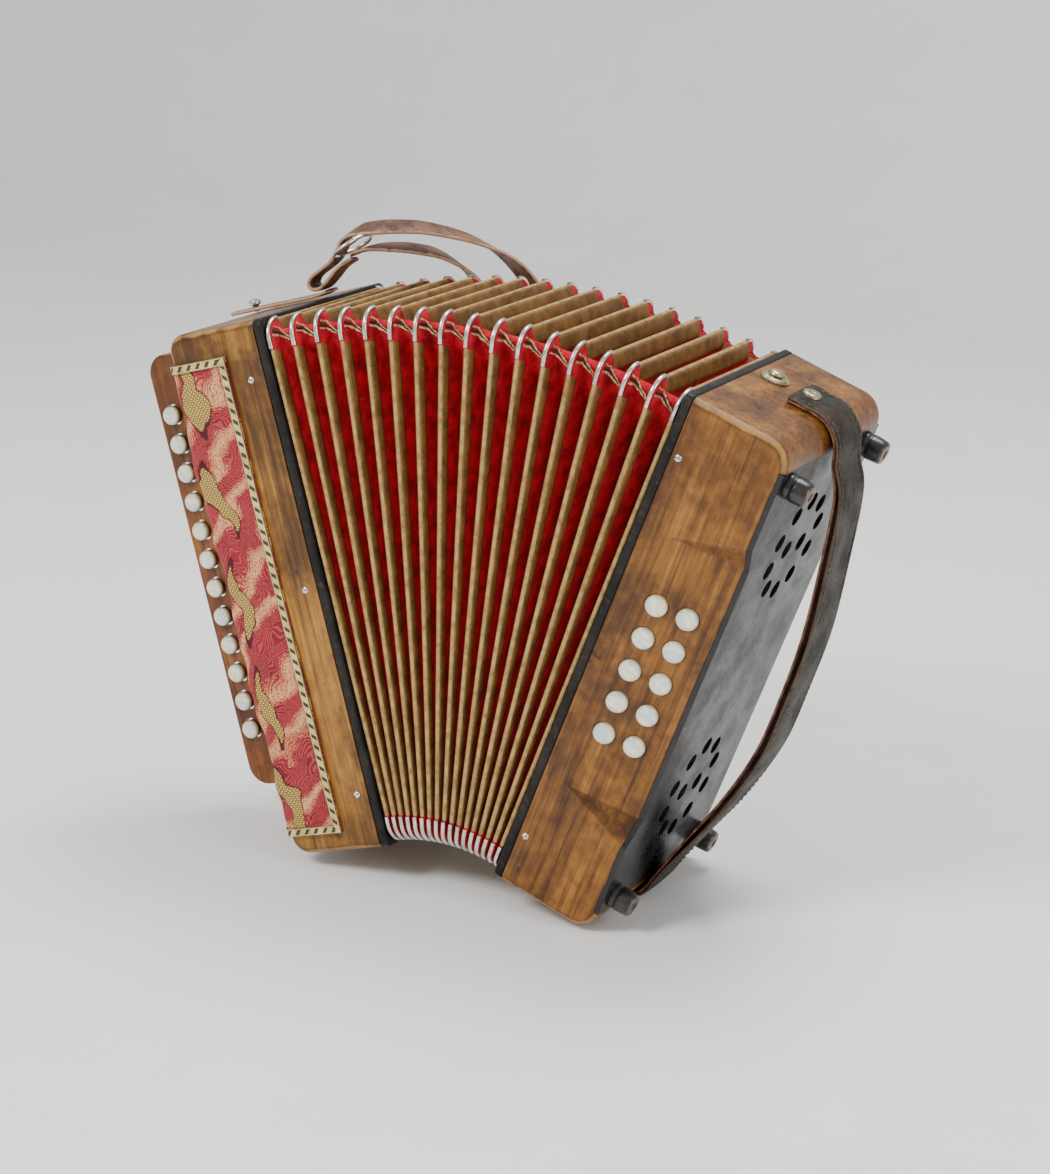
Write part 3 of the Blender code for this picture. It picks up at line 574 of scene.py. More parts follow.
class Loop:
    """A rectangle with rounded corners, seen along x, that can be inset point by point.

    Every point is either on a corner's arc or a share of the way between two arcs' ends.
    """

    def __init__(self, inset, corner, arc_steps, straight_steps):
        turn = np.linspace(0, np.pi / 2, arc_steps + 1)
        shares = (1 - np.cos(np.pi * np.arange(1, straight_steps) / straight_steps)) / 2
        self.limits = np.array([(inset, inset), (DEPTH - inset, inset), (DEPTH - inset, HEIGHT - inset),
                                (inset, HEIGHT - inset)])
        self.corner = corner
        first, last, start, end, share = [], [], [], [], []
        for number in range(4):
            begin = np.pi + number * np.pi / 2
            first += [number] * (len(turn) + len(shares))
            last += [number] * len(turn) + [(number + 1) % 4] * len(shares)
            start += [*(begin + turn), *([begin + np.pi / 2] * len(shares))]
            end += [*(begin + turn), *([begin + np.pi / 2] * len(shares))]
            share += [*([0] * len(turn)), *shares]
        self.first, self.last = np.array(first), np.array(last)
        self.start, self.end, self.share = np.array(start), np.array(end), np.array(share)

    def corner_point(self, number, angle, inset):
        radius = np.maximum(self.corner - inset, 0.0008)
        centre = self.limits[number] - CORNER_SIDES[number] * (inset + radius)[..., None]
        return centre + radius[..., None] * np.stack([np.cos(angle), np.sin(angle)], -1)

    def points(self, inset):
        """(y, z) of each point for insets whose last axis runs round the loop."""
        inset = np.broadcast_to(inset, np.broadcast_shapes(np.shape(inset), self.share.shape))
        begin = self.corner_point(self.first, self.start, inset)
        finish = self.corner_point(self.last, self.end, inset)
        return begin + (finish - begin) * self.share[:, None]

    def from_corner(self):
        """How far round the loop each point is from the nearest corner's middle."""
        places = self.points(0.0)
        tips = self.limits - CORNER_SIDES * self.corner * 0.3
        return np.linalg.norm(places[:, None] - tips[None], axis=-1).min(1)


def ring_piece(name, loop, profile, origin, lean, material):
    """Carries a closed (x, inset) profile round a loop."""
    sides = loop.points(profile[:, 1][:, None])
    x = np.broadcast_to(profile[:, 0][:, None], sides.shape[:2])
    points = np.concatenate([x[..., None], sides], -1)
    rows, columns = points.shape[:2]
    faces = grid_faces(rows, columns, True, True)
    uv = np.stack([np.broadcast_to(profile[:, 1][:, None], x.shape), x], -1)
    return new_piece(name, placed(points, origin, lean), faces, material, uv)


def framed_profile(half, depth, softness):
    """A rectangle (x, inset) with its two outer corners softened."""
    arc = np.linspace(0, np.pi / 2, 5)
    outer = [(half - softness + softness * math.sin(a), softness - softness * math.cos(a)) for a in arc]
    return np.array([(half, depth), *reversed(outer), *[(-x, inset) for x, inset in outer], (-half, depth)])


for side, origin, lean, middle in (("treble", treble_origin, treble_lean, FRAME_MIDDLE),
                                   ("bass", bass_origin, bass_lean, -FRAME_MIDDLE)):
    loop = Loop(-0.0001, FRAME_CORNER, 8, 24)
    profile = framed_profile(FRAME_HALF, FRAME_BORDER, 0.0012) + (middle, 0)
    ring = ring_piece(f"{side}_black_frame", loop, profile, origin, lean, frame_lacquer)
    mark(ring, "worn", np.repeat(np.exp(-(profile[:, 1] / 0.0012)), len(loop.share)))
    fit(ring, f"{side}_side", "black_lacquer", f"{side}_frame")
frame["nodes"]["bass_end_plate"].data.materials.clear()
frame["nodes"]["bass_end_plate"].data.materials.append(lacquer)


# ---- Bellows folds: taped crests with nickel corners -----------------------------------------
# Each fold of card is bound round its crest with grained bronze bookcloth tape, pale where hands
# have rubbed it. A bent half-round nickel wire guards each of its four corners.
FOLD_INSET, FOLD_CORNER = 0.002, 0.010
CREST_MIDDLE, CREST_HALF = 0.00195, 0.0012
CORNER_LEAD, CORNER_RUN, WIRE = 0.0012, 0.0052, 0.00115
TAPE_FRONT, TAPE_TOP = 0.0048, 0.0090


def tape_reach(loop):
    """How far in the tape goes at each point of a loop. It stops where the corner wires start."""
    y, z = loop.points(0.0).T
    from_front = np.minimum(y, DEPTH - y) - FOLD_INSET
    from_top = np.minimum(z, HEIGHT - z) - FOLD_INSET
    upright = from_front < from_top
    reach = np.where(upright, TAPE_FRONT, TAPE_TOP)
    past = np.where(upright, from_top - CORNER_RUN, from_front - CORNER_LEAD) - FOLD_CORNER
    return np.where(past > -0.0004, reach, -0.003)


def make_bellows_cloth():
    """Bronze grained bookcloth where the tape attribute is above 0, and crimson velvet elsewhere, darkened deep in
    the valleys as painted shade, with a painted shadow along the tape's edge.
    """
    made, tree, shader = new_material("bellows_cloth", 0.8, Sheen_Weight=0.06, Sheen_Roughness=0.5,
                                      Specular_IOR_Level=0.2)
    shader.inputs["Sheen Tint"].default_value = (0.9, 0.4, 0.3, 1)
    spot = object_coordinates(tree)
    wall = use(tree, MOTTLE, {"Vector": spot, "Scale": 110.0, "Dark": (0.085, 0.041, 0.009),
                              "Light": (0.230, 0.119, 0.030), "Low": 0.30, "High": 0.68})
    pale = use(tree, MOTTLE, {"Vector": spot, "Scale": 240.0, "Dark": (0.21, 0.120, 0.038),
                              "Light": (0.48, 0.305, 0.115), "Low": 0.3, "High": 0.66})
    grain = speckle(tree, spot, 1700.0, 3, 0.6)
    crest = add(tree, "Attribute", attribute_name="crest").outputs["Fac"]
    rubbed = use(tree, RUBBING, {"Vector": spot, "Edge": crest, "Scale": 300.0, "Amount": 0.55})["Mask"]
    bronze = blended(tree, rubbed, wall["Color"], pale["Color"])
    depth = add(tree, "Attribute", attribute_name="depth").outputs["Fac"]
    velvet = use(tree, MOTTLE, {"Vector": spot, "Scale": 150.0, "Dark": (0.17, 0.002, 0.007),
                                "Light": (0.56, 0.012, 0.028), "Low": 0.30, "High": 0.64})
    threadbare = use(tree, RUBBING, {"Vector": stretched(tree, spot, (1, 1, 0.3)), "Edge": 0.08, "Scale": 330.0,
                                     "Amount": 1.0})["Mask"]
    rosy = blended(tree, calc(tree, "MULTIPLY", threadbare, 0.4), velvet["Color"], (0.66, 0.15, 0.13))
    # Painted shade: the velvet darkens towards near black deep in each valley.
    deep = blended(tree, between(tree, depth, 0.0212, 0.014), (0.070, 0.001, 0.003), rosy)
    tape = add(tree, "Attribute", attribute_name="tape").outputs["Fac"]
    ragged = calc(tree, "ADD", tape, calc(tree, "MULTIPLY", speckle(tree, spot, 900.0, 2), 0.0005))
    taped = between(tree, ragged, 0.0001, 0.0005)
    # Painted shadow: a dark line along the tape's edge, where the tape steps up off the velvet.
    edge = calc(tree, "MULTIPLY", taped, between(tree, ragged, 0.0013, 0.0004))
    bronze = blended(tree, calc(tree, "MULTIPLY", edge, 0.5), bronze, (0.030, 0.018, 0.006))
    paint(tree, shader, blended(tree, taped, deep, bronze), spread(tree, taped, 0.85, 0.5), grain, 0.0002, 0.6)
    return made


bellows_cloth = make_bellows_cloth()


def make_metal(name, polish, dark, light, scale, dull, bright, scratches, relief, **tones):
    """Bare metal, clouded dull and bright where it has tarnished, under fine scratches."""
    made, tree, shader = new_material(name, polish, 1.0)
    spot = object_coordinates(tree)
    cloud = use(tree, MOTTLE, {"Vector": spot, "Scale": scale, "Dark": dark, "Light": light, **tones})
    paint(tree, shader, cloud["Color"], spread(tree, cloud["Mask"], dull, bright),
          speckle(tree, spot, *scratches), relief, 0.4)
    return made


nickel = make_metal("nickel", 0.22, (0.40, 0.36, 0.31), (0.80, 0.77, 0.72), scale=130.0, dull=0.42, bright=0.20,
                    scratches=(1500.0, 4, 0.7), relief=0.00004, Low=0.30, High=0.60)


def crest_profile():
    """The tape's section, as (x, inset): round over the crest, then down both walls."""
    angle = np.linspace(0, np.pi, 9)
    over = [(CREST_HALF * math.cos(a), 0.0009 - 0.0009 * math.sin(a)) for a in angle]
    return np.array([(CREST_HALF, 0.0060), *over, (-CREST_HALF, 0.0060)]) + (CREST_MIDDLE, 0)


def corner_wire(number):
    """The wire's middle line at a corner, as (y, z), and its outward directions.

    It runs a little way along the top or bottom, round the corner, then down the side.
    """
    signs = CORNER_SIDES[number]
    turn = np.linspace(0, np.pi / 2, 13)
    arc = np.stack([np.sin(turn), np.cos(turn)], -1)
    lead = np.stack([-np.linspace(CORNER_LEAD, 0.0006, 3), np.full(3, FOLD_CORNER)], -1)
    run = np.stack([np.full(5, FOLD_CORNER), -np.linspace(0.0008, CORNER_RUN, 5)], -1)
    line = np.vstack([lead, arc * FOLD_CORNER, run])
    outward = np.vstack([np.tile([0, 1], (3, 1)), arc, np.tile([1, 0], (5, 1))])
    far = np.where(signs > 0, (DEPTH, HEIGHT), 0)
    centre = far - signs * (FOLD_INSET + FOLD_CORNER)
    return centre + signs * line, signs * outward


def fold_place(row):
    """The origin and lean of fold number row, from 1, with x 0 on the hinge before it."""
    lean = treble_lean + (row - 1) * fold_turn
    if row == 1:
        return on_treble((SIDE_TO_HINGE - FOLD_PITCH, 0, 0)), lean
    return hinges[row - 2] - np.array([0, DEPTH / 2, 0]), lean


def fold_body(row):
    return {1: "treble_side", FOLDS: "bass_side"}.get(row, f"fold_{row:02d}")


def directions(path, closed=False):
    """Each point's direction along the path, from the point before to the point after."""
    if closed:
        return unit(np.roll(path, -1, 0) - np.roll(path, 1, 0))
    return unit(np.gradient(path, axis=0))


def swept(path, across, profile, closed=False):
    """Carries a closed profile along a path: path + across * first + lift * second.

    Lift is square to both the path and across. Returns points, faces and (length, first) UVs.
    """
    along = directions(path, closed)
    across = unit(across - along * np.sum(across * along, -1, keepdims=True))
    lift = np.cross(along, across)
    points = (path[:, None] + across[:, None] * profile[None, :, :1]
              + lift[:, None] * profile[None, :, 1:])
    rows, columns = points.shape[:2]
    faces = grid_faces(rows, columns, closed, True).tolist()
    if not closed:
        faces += [list(range(columns)), list(range(rows * columns - 1, (rows - 1) * columns - 1, -1))]
    steps = np.linalg.norm(np.diff(path, axis=0), axis=1)
    length = np.concatenate([[0], np.cumsum(steps)])
    uv = np.stack(np.broadcast_arrays(length[:, None], profile[None, :, 0]), -1)
    return points, faces, uv


def oval(width, height, sides=12):
    """An ellipse, clockwise as a sweep needs it to face outwards."""
    angle = -2 * np.pi * np.arange(sides) / sides
    return np.stack([np.cos(angle) * width / 2, np.sin(angle) * height / 2], -1)


def make_corner_guards(row):
    shapes = []
    origin, lean = fold_place(row)
    for number in range(4):
        line, outward = corner_wire(number)
        middle = np.insert(line + outward * 0.0001, 0, CREST_MIDDLE, axis=1)
        across = np.tile([1.0, 0, 0], (len(line), 1))
        points, faces, _ = swept(middle, across, oval(2 * WIRE + 0.0003, 2 * WIRE))
        if number in (1, 3):
            faces = [face[::-1] for face in faces]
        shapes.append((placed(points, origin, lean), faces))
    guards = new_piece(f"corner_guards_{row:02d}", *joined(shapes), nickel)
    return fit(guards, fold_body(row), "nickel")


crest_loop = Loop(FOLD_INSET, FOLD_CORNER, 10, 48)
for row in range(1, FOLDS + 1):
    origin, lean = fold_place(row)
    profile = crest_profile()
    crest = ring_piece(f"fold_crest_{row:02d}", crest_loop, profile, origin, lean, bellows_cloth)
    inset = np.repeat(profile[:, 1][:, None], len(crest_loop.share), 1)
    mark(crest, "tape", tape_reach(crest_loop) - inset)
    mark(crest, "depth", inset)
    mark(crest, "crest", np.clip((0.0014 - inset) / 0.001, 0, 1))
    fit(crest, fold_body(row), "gold_tape", f"bellows_fold_{row:02d}")
    make_corner_guards(row)


# ---- Bellows walls: card covered with crimson cloth ------------------------------------------
# Between two crests the card walls fold inwards to a valley. The tape reaches 9 mm down each
# wall, and below it the card is covered with crimson cotton velvet. Soft leather closes the
# corners, so there the valley is shallow.
VALLEY, CORNER_VALLEY, CORNER_REACH = 0.0205, 0.0062, 0.0135
TAPE_STEP, WALL_CARD = 0.00022, 0.0006


def wall_stops():
    """Depth shares down one wall and up the next, from -1 at one crest to 1 at the other."""
    down = np.array([0.03, 0.10, 0.17, 0.228, 0.240, 0.30, 0.36, 0.433, 0.445, 0.55, 0.68, 0.80, 0.90, 0.97])
    return np.concatenate([-(1 - down), [0], (1 - down)[::-1]])


def fanned(gap, turn, x, y, z):
    """Sets a pleat's points in place, each turned about hinge number gap by its share of the fan."""
    lean = treble_lean + (gap - 1 + turn) * fold_turn
    cos, sin = np.cos(lean), np.sin(lean)
    hinge = hinges[gap - 1]
    return np.stack([hinge[0] + cos * x + sin * z, hinge[1] - DEPTH / 2 + y, hinge[2] + cos * z - sin * x], -1)


def make_wall(gap):
    """The pleat between fold number gap and the next: an even fan of the loop about the hinge."""
    share = wall_stops()
    loop = Loop(FOLD_INSET, FOLD_CORNER, 8, 48)
    nearness = np.exp(-(np.maximum(loop.from_corner() - 0.004, 0) / CORNER_REACH) ** 2)
    floor = VALLEY + (CORNER_VALLEY - VALLEY) * nearness
    down = (1 - np.abs(share))[:, None] * VALLEY
    inset = np.minimum(down, floor[None]) * 0.995
    sides = loop.points(inset)
    turn = (share[:, None] + 1) / 2 * np.ones(len(loop.share))
    reach = FOLD_PITCH - CREST_MIDDLE - CREST_HALF * 0.9
    tape = tape_reach(loop) - inset
    raised = TAPE_STEP * (tape > 0) * -np.sign(share)[:, None]
    x = (2 * turn - 1) * reach + raised
    points = fanned(gap, turn, x, sides[..., 0], sides[..., 1])
    faces = grid_faces(*x.shape, False, True)
    wall = new_piece(f"bellows_wall_{gap:02d}", points, faces, bellows_cloth, None, 60)
    for name, values in (("tape", tape), ("depth", inset), ("crest", np.zeros(x.shape))):
        mark(wall, name, values)
    return wall, turn.ravel()


def bend_between(piece):
    """Bakes a piece's placement into its mesh."""
    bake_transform(piece)


for gap in range(1, FOLDS):
    wall, turn = make_wall(gap)
    card = wall.modifiers.new("card", "SOLIDIFY")
    card.thickness = WALL_CARD
    card.offset = -1
    bend_between(wall)


# ---- Corner gussets: frayed leather edges ----------------------------------------------------
# Thin leather is glued over the cloth where the pleats open at the top corners. Its cut edges
# have frayed pale, and run from a corner's wire down to the next fold's crest.
GUSSET_DROP = 0.0145
gusset_leather, tree, shader = new_material("gusset_leather", 0.8)
spot = object_coordinates(tree)
frayed = use(tree, MOTTLE, {"Vector": spot, "Scale": 400.0, "Dark": (0.20, 0.085, 0.03),
                            "Light": (0.60, 0.38, 0.18), "Low": 0.35, "High": 0.6})
slit = add(tree, "Attribute", attribute_name="slit").outputs["Fac"]
# Painted shade: the strips marked as slits are near black, for the shade in the slit between the leather's edges.
slit_shade = blended(tree, slit, frayed["Color"], (0.012, 0.005, 0.003))
paint(tree, shader, slit_shade, None, speckle(tree, spot, 2500.0), 0.0002, 0.8)


def gusset_strip(gap, back, start_drop, width, seed):
    """A strip over the corner cloth, from a fold's wire to the next fold's crest."""
    random = np.random.default_rng(seed)
    steps = 16
    t = np.linspace(0.05, 0.96, steps)
    share = (t - t[0]) / (t[-1] - t[0])
    drop = start_drop + (GUSSET_DROP - start_drop) * share ** 0.9 + random.normal(0, 0.0002, steps)
    valley = np.minimum((1 - np.abs(2 * t - 1)) * VALLEY, CORNER_VALLEY + 0.0006)
    lean = treble_lean + (gap - 1 + t) * fold_turn
    x = (2 * t - 1) * (FOLD_PITCH - CREST_MIDDLE - CREST_HALF)
    z = HEIGHT - FOLD_INSET - drop
    round_off = FOLD_CORNER - np.sqrt(np.maximum(FOLD_CORNER**2 - np.maximum(FOLD_CORNER - drop, 0)**2, 0))
    y = FOLD_INSET + np.maximum(round_off, 0) + valley * 0.92 - 0.0004
    y = DEPTH - y if back else y
    path = fanned(gap, t, x, y, z)
    across = np.stack([np.sin(lean), np.zeros(steps), np.cos(lean)], -1)
    width = width * random.uniform(0.6, 1.3, steps) * np.sqrt(np.clip(1.15 - share, 0.1, 1))
    shape, faces, _ = swept(path, across, oval(1.0, 0.35, 6))
    centre = path[:, None]
    return centre + (shape - centre) * width[:, None, None], faces, np.repeat(t, 6)


for gap in range(1, FOLDS):
    edges = [(back, drop, width, dark) for back in (False, True)
             for drop, width, dark in ((0.0040, 0.0011, 0), (0.0062, 0.0014, 1), (0.0082, 0.0012, 0))]
    strips = [gusset_strip(gap, back, drop, width, 10 * gap + number)
              for number, (back, drop, width, _) in enumerate(edges)]
    gusset = new_piece(f"corner_gussets_{gap:02d}", *joined([strip[:2] for strip in strips]), gusset_leather)
    mark(gusset, "slit", np.repeat([dark for *_, dark in edges], len(strips[0][2])))
    bend_between(gusset)


# ---- Grille: figured brocade with a braid border ---------------------------------------------
# Crimson brocade is stretched over the sound opening in the treble casing's front and glued round
# its outer edge. A woven braid, pale gold with slanting dark bars, is tacked over the raw edges.
CLOTH_RIGHT, CLOTH_LOW, CLOTH_HIGH, CLOTH_WRAP = -0.0217, 0.0115, 0.284, 0.018
BRAID_WIDTH = 0.0048
brocade, tree, shader = new_material("red_brocade", 0.78, Sheen_Weight=0.08, Sheen_Roughness=0.4,
                                     Specular_IOR_Level=0.2)
shader.inputs["Sheen Tint"].default_value = (1.0, 0.75, 0.6, 1)


def own_uv(tree):
    return add(tree, "UVMap", uv_map="UVMap").outputs[0]


flat = own_uv(tree)
THREAD = 0.00062
picked = add(tree, "VectorMath", {0: flat, 1: (THREAD, THREAD, 1)}, operation="SNAP").outputs[0]
wander = add(tree, "TexNoise", {"Vector": picked, "Scale": 30.0, "Detail": 2.0}).outputs["Color"]
shift = add(tree, "VectorMath", {0: wander, 1: (0.5, 0.5, 0.5)}, operation="SUBTRACT").outputs[0]
shift = add(tree, "VectorMath", {0: shift, "Scale": 0.034}, operation="SCALE").outputs[0]
bent = add(tree, "VectorMath", {0: picked, 1: shift}, operation="ADD").outputs[0]
dither = add(tree, "TexWhiteNoise", {"Vector": picked}, noise_dimensions="3D").outputs["Value"]
dither = calc(tree, "MULTIPLY", calc(tree, "SUBTRACT", dither, 0.5), 0.34)
ground = use(tree, MOTTLE, {"Vector": flat, "Scale": 70.0, "Dark": (0.20, 0.008, 0.022),
                            "Light": (0.38, 0.022, 0.045), "Low": 0.3, "High": 0.7})
leaves = add(tree, "TexWave", {"Vector": bent, "Scale": 19.0, "Distortion": 4.2, "Detail": 1.0,
                               "Detail Scale": 1.4}, bands_direction="DIAGONAL").outputs["Fac"]
ribs = add(tree, "TexWave", {"Vector": bent, "Scale": 360.0, "Distortion": 0.8, "Detail": 0.0},
           bands_direction="DIAGONAL").outputs["Fac"]
dithered = calc(tree, "ADD", leaves, dither)
leaf = between(tree, dithered, 0.58, 0.62)
heart = between(tree, dithered, 0.90, 0.95)
ribbed = blended(tree, between(tree, ribs, 0.55, 0.75), ground["Color"], (0.46, 0.075, 0.070))
salmon = blended(tree, between(tree, ribs, 0.25, 0.55), (0.40, 0.060, 0.050), (0.74, 0.29, 0.14))
figured = blended(tree, leaf, ribbed, salmon)
figured = blended(tree, calc(tree, "MULTIPLY", heart, 0.8), figured, (0.82, 0.48, 0.21))
sides = add(tree, "SeparateXYZ", {0: bent}).outputs
GOLD_REPEAT = 0.058
along = calc(tree, "SUBTRACT", calc(tree, "FRACT", calc(tree, "DIVIDE", sides[1], GOLD_REPEAT)), 0.5)
sway = calc(tree, "MULTIPLY", calc(tree, "SINE", calc(tree, "MULTIPLY", along, 4.0)), 0.0030)
across = calc(tree, "SUBTRACT", calc(tree, "SUBTRACT", sides[0], 0.0270), sway)
width_share = calc(tree, "ABSOLUTE", calc(tree, "DIVIDE", across, 0.0052))
length_share = calc(tree, "ABSOLUTE", calc(tree, "DIVIDE", along, 0.36))
spindle = calc(tree, "ADD", calc(tree, "POWER", width_share, 2.0), calc(tree, "POWER", length_share, 1.5))


def make_weave():
    """Plain weave on UVs in metres: two sets of threads crossing, and which is on top."""
    tree, given, out = new_group(
        "weave", [("Vector", "Vector", None), ("Pitch", "Float", 0.0006)], [("Height", "Float"), ("Over", "Float")]
    )
    parts = add(tree, "SeparateXYZ", {0: given["Vector"]}).outputs
    waves = []
    for axis in (0, 1):
        turns = calc(tree, "DIVIDE", calc(tree, "MULTIPLY", parts[axis], math.pi), given["Pitch"])
        waves.append(calc(tree, "SINE", turns))
    product = calc(tree, "MULTIPLY", waves[0], waves[1])
    tree.links.new(calc(tree, "ABSOLUTE", product), out.inputs["Height"])
    tree.links.new(between(tree, product, -0.15, 0.15), out.inputs["Over"])
    return tree


WEAVE = make_weave()
gold_weave = use(tree, WEAVE, {"Vector": flat, "Pitch": 0.0013})
gold = blended(tree, gold_weave["Over"], (0.46, 0.29, 0.060), (0.82, 0.60, 0.20))
# Painted shade: the gold is darkened where the weave's height is low, between its threads.
gold = blended(tree, between(tree, gold_weave["Height"], 0.34, 0.14), gold, (0.080, 0.040, 0.010))
figured = blended(tree, between(tree, spindle, 1.30, 1.20), figured, (0.075, 0.012, 0.014))
figured = blended(tree, between(tree, spindle, 1.02, 0.96), figured, gold)
weave = use(tree, WEAVE, {"Vector": flat, "Pitch": THREAD})
# Painted shade: the cloth is darkened between its threads, where the weave's height is low.
threads = blended(tree, calc(tree, "MULTIPLY", between(tree, weave["Height"], 0.25, 0.0), 0.35), figured,
                  (0.060, 0.006, 0.010))
paint(tree, shader, threads, None, weave["Height"], 0.0003, 0.7)


def grille_path(out):
    """The cloth seen from above, from its inner edge to the end of its wrap, as (x, y)."""
    centre_x, centre_y = RIM - TREBLE_WIDTH, RIM
    front = np.linspace(CLOTH_RIGHT, centre_x, 26, endpoint=False)
    angle = np.linspace(-np.pi / 2, -np.pi, 10)
    side = np.linspace(RIM, CLOTH_WRAP, 8)[1:]
    x = np.concatenate([front, centre_x + (RIM + out) * np.cos(angle), np.full(7, -TREBLE_WIDTH - out)])
    y = np.concatenate([np.full(26, -out), centre_y + (RIM + out) * np.sin(angle), side])
    return x, y


def make_grille_cloth():
    x, y = grille_path(0.0008)
    z = np.linspace(CLOTH_LOW, CLOTH_HIGH, 150)
    steps = np.hypot(np.diff(x), np.diff(y))
    run = np.concatenate([[0], np.cumsum(steps)])
    along = directions(np.stack([x, y], -1))
    normal = np.stack([along[:, 1], -along[:, 0]], -1) * -1
    run_grid, z_grid = np.meshgrid(run, z, indexing="ij")
    share = run_grid / run[-1]
    from_ends = np.minimum(z_grid - CLOTH_LOW, CLOTH_HIGH - z_grid)
    edge = np.clip(np.minimum(share, 1 - share) * 6, 0, 1) * np.clip(from_ends * 80, 0, 1)
    slack = (0.0007 * np.sin(z_grid * 55 + 3 * share) + 0.0006 * np.sin(z_grid * 133 - 7 * share + 1)
             + 0.0005 * np.sin(z_grid * 310 + 11 * share) * np.exp(-((share - 0.66) / 0.12) ** 2) + 0.0008)
    out = edge * np.maximum(slack, 0)
    points = np.stack([x[:, None] + normal[:, None, 0] * out, y[:, None] + normal[:, None, 1] * out, z_grid], -1)
    uv = np.stack([run_grid, z_grid], -1)
    cloth = new_piece("grille_brocade", on_treble(points), grid_faces(len(x), len(z)), brocade, uv, 70)
    thick = cloth.modifiers.new("thickness", "SOLIDIFY")
    thick.thickness = 0.0006
    thick.offset = 0
    settle(cloth)
    fit(cloth, "treble_side", "red_brocade", "grille_cloth")


make_grille_cloth()

braid_cloth, tree, shader = new_material("gold_braid", 0.7)
parts = add(tree, "SeparateXYZ", {0: own_uv(tree)}).outputs
slant = calc(tree, "ADD", calc(tree, "DIVIDE", parts[0], 0.0062), calc(tree, "MULTIPLY", parts[1], 115.0))
bar = calc(tree, "ABSOLUTE", calc(tree, "SUBTRACT", calc(tree, "FRACT", slant), 0.5))
side = calc(tree, "ABSOLUTE", parts[1])
inside = between(tree, side, 0.00165, 0.00145)
dark_bar = calc(tree, "MULTIPLY", between(tree, bar, 0.24, 0.17), inside)
edge_line = between(tree, side, 0.00195, 0.0022)
dark = calc(tree, "MAXIMUM", dark_bar, calc(tree, "MULTIPLY", edge_line, 0.85))
weave = use(tree, WEAVE, {"Vector": own_uv(tree), "Pitch": 0.0007})
gold = use(tree, MOTTLE, {"Vector": object_coordinates(tree), "Scale": 150.0, "Dark": (0.46, 0.33, 0.10),
                          "Light": (0.80, 0.64, 0.27), "Low": 0.3, "High": 0.65})
colour = blended(tree, dark, gold["Color"], (0.045, 0.036, 0.010))
paint(tree, shader, colour, None, weave["Height"], 0.0003, 0.7)


def make_braid():
    """A flat band up the inner edge of the cloth, across its top and bottom and round the edge."""
    half = BRAID_WIDTH / 2
    inner, low, high = CLOTH_RIGHT - half, CLOTH_LOW + half, CLOTH_HIGH - half
    x, y = grille_path(0.0021)
    keep = x < inner - half - 0.0003
    side_x, side_y = x[keep], y[keep]
    level = np.stack([side_x, side_y, np.full(len(side_x), 0.0)], -1)
    rows = np.linspace(low + half + 0.0003, high - half - 0.0003, 80)
    upright = np.stack([np.full(80, inner), np.full(80, -0.0021), rows], -1)
    bottom, top = level + (0, 0, low), level + (0, 0, high)
    mitre_low, mitre_high = np.array([[inner, -0.0021, low]]), np.array([[inner, -0.0021, high]])
    path = np.vstack([bottom[::-1], mitre_low, upright, mitre_high, top])
    across = np.vstack([np.tile([0, 0, -1.0], (len(level), 1)), [[0.7, 0, -0.7]], np.tile([1.0, 0, 0], (80, 1)),
                        [[0.7, 0, 0.7]], np.tile([0, 0, 1.0], (len(level), 1))])
    profile = np.array([(-half, -0.0003), (-half, 0.0003), (-half * 0.8, 0.0006), (0, 0.0007),
                        (half * 0.8, 0.0006), (half, 0.0003), (half, -0.0003)])
    points, faces, uv = swept(path, across, profile)
    corner = (len(level), len(level) + 1 + 80)
    for row in corner:
        points[row] = path[row] + (points[row] - path[row]) * np.array([1.414, 1, 1.414])
    braid = new_piece("grille_braid_band", on_treble(points), faces, braid_cloth, uv)
    fit(braid, "treble_side", "gold_braid", "grille_braid")


make_braid()


# ---- Screws ----------------------------------------------------------------------------------
# Small round-headed nickel screws hold each casing to its frame, with a driver's slot in each.
def screw_head(place, out, radius=0.0021):
    """A domed head on a face that looks along out. Its slot is a separate bar."""
    angle = np.linspace(0, np.pi / 2, 7)
    dome = [(radius * math.sin(a), 0.0011 * math.cos(a)) for a in angle]
    return turned([*dome, (radius * 0.97, -0.0008)], place, out, 24)


def slot_bar(place, out, turn):
    """The slot, a thin dark bar sunk in the head's top: painted shade for the slot's depth, with grime."""
    first = unit(np.cross(out, (0.3, 0.2, 1)))
    second = np.cross(out, first)
    along = math.cos(turn) * first + math.sin(turn) * second
    path = place + out * 0.00085 + along * np.linspace(-0.0018, 0.0018, 3)[:, None]
    points, faces, _ = swept(path, np.tile(out, (3, 1)), oval(0.0007, 0.0005, 8))
    return points, faces


slot_shade, tree, shader = new_material("slot_shade", 0.8)
shade_and_grime = use(tree, MOTTLE, {"Vector": object_coordinates(tree), "Scale": 300.0, "Dark": (0.006, 0.005, 0.004),
                           "Light": (0.035, 0.026, 0.018)})
paint(tree, shader, shade_and_grime["Color"])
treble_screws = [(-0.0091, 0, 0.2685), (-0.0078, 0, 0.150), (-0.0069, 0, 0.032)]
bass_screws = [(0.0038, 0, 0.2675), (0.0038, 0, 0.0324)]
front = np.array([0.0, -1, 0])
for side, put, places in (("treble", on_treble, treble_screws), ("bass", on_bass, bass_screws)):
    everywhere = places + [(x, DEPTH, z) for x, _, z in places]
    ways = [front] * len(places) + [-front] * len(places)
    heads = joined([screw_head(put(place), way) for place, way in zip(everywhere, ways)])
    fit(new_piece(f"{side}_screws", *heads, nickel), f"{side}_side", "nickel")
    slots = joined([slot_bar(put(place), way, 0.6 * turn)
                    for turn, (place, way) in enumerate(zip(everywhere, ways))])
    fit(new_piece(f"{side}_screw_slots", *slots, slot_shade), f"{side}_side", "nickel")


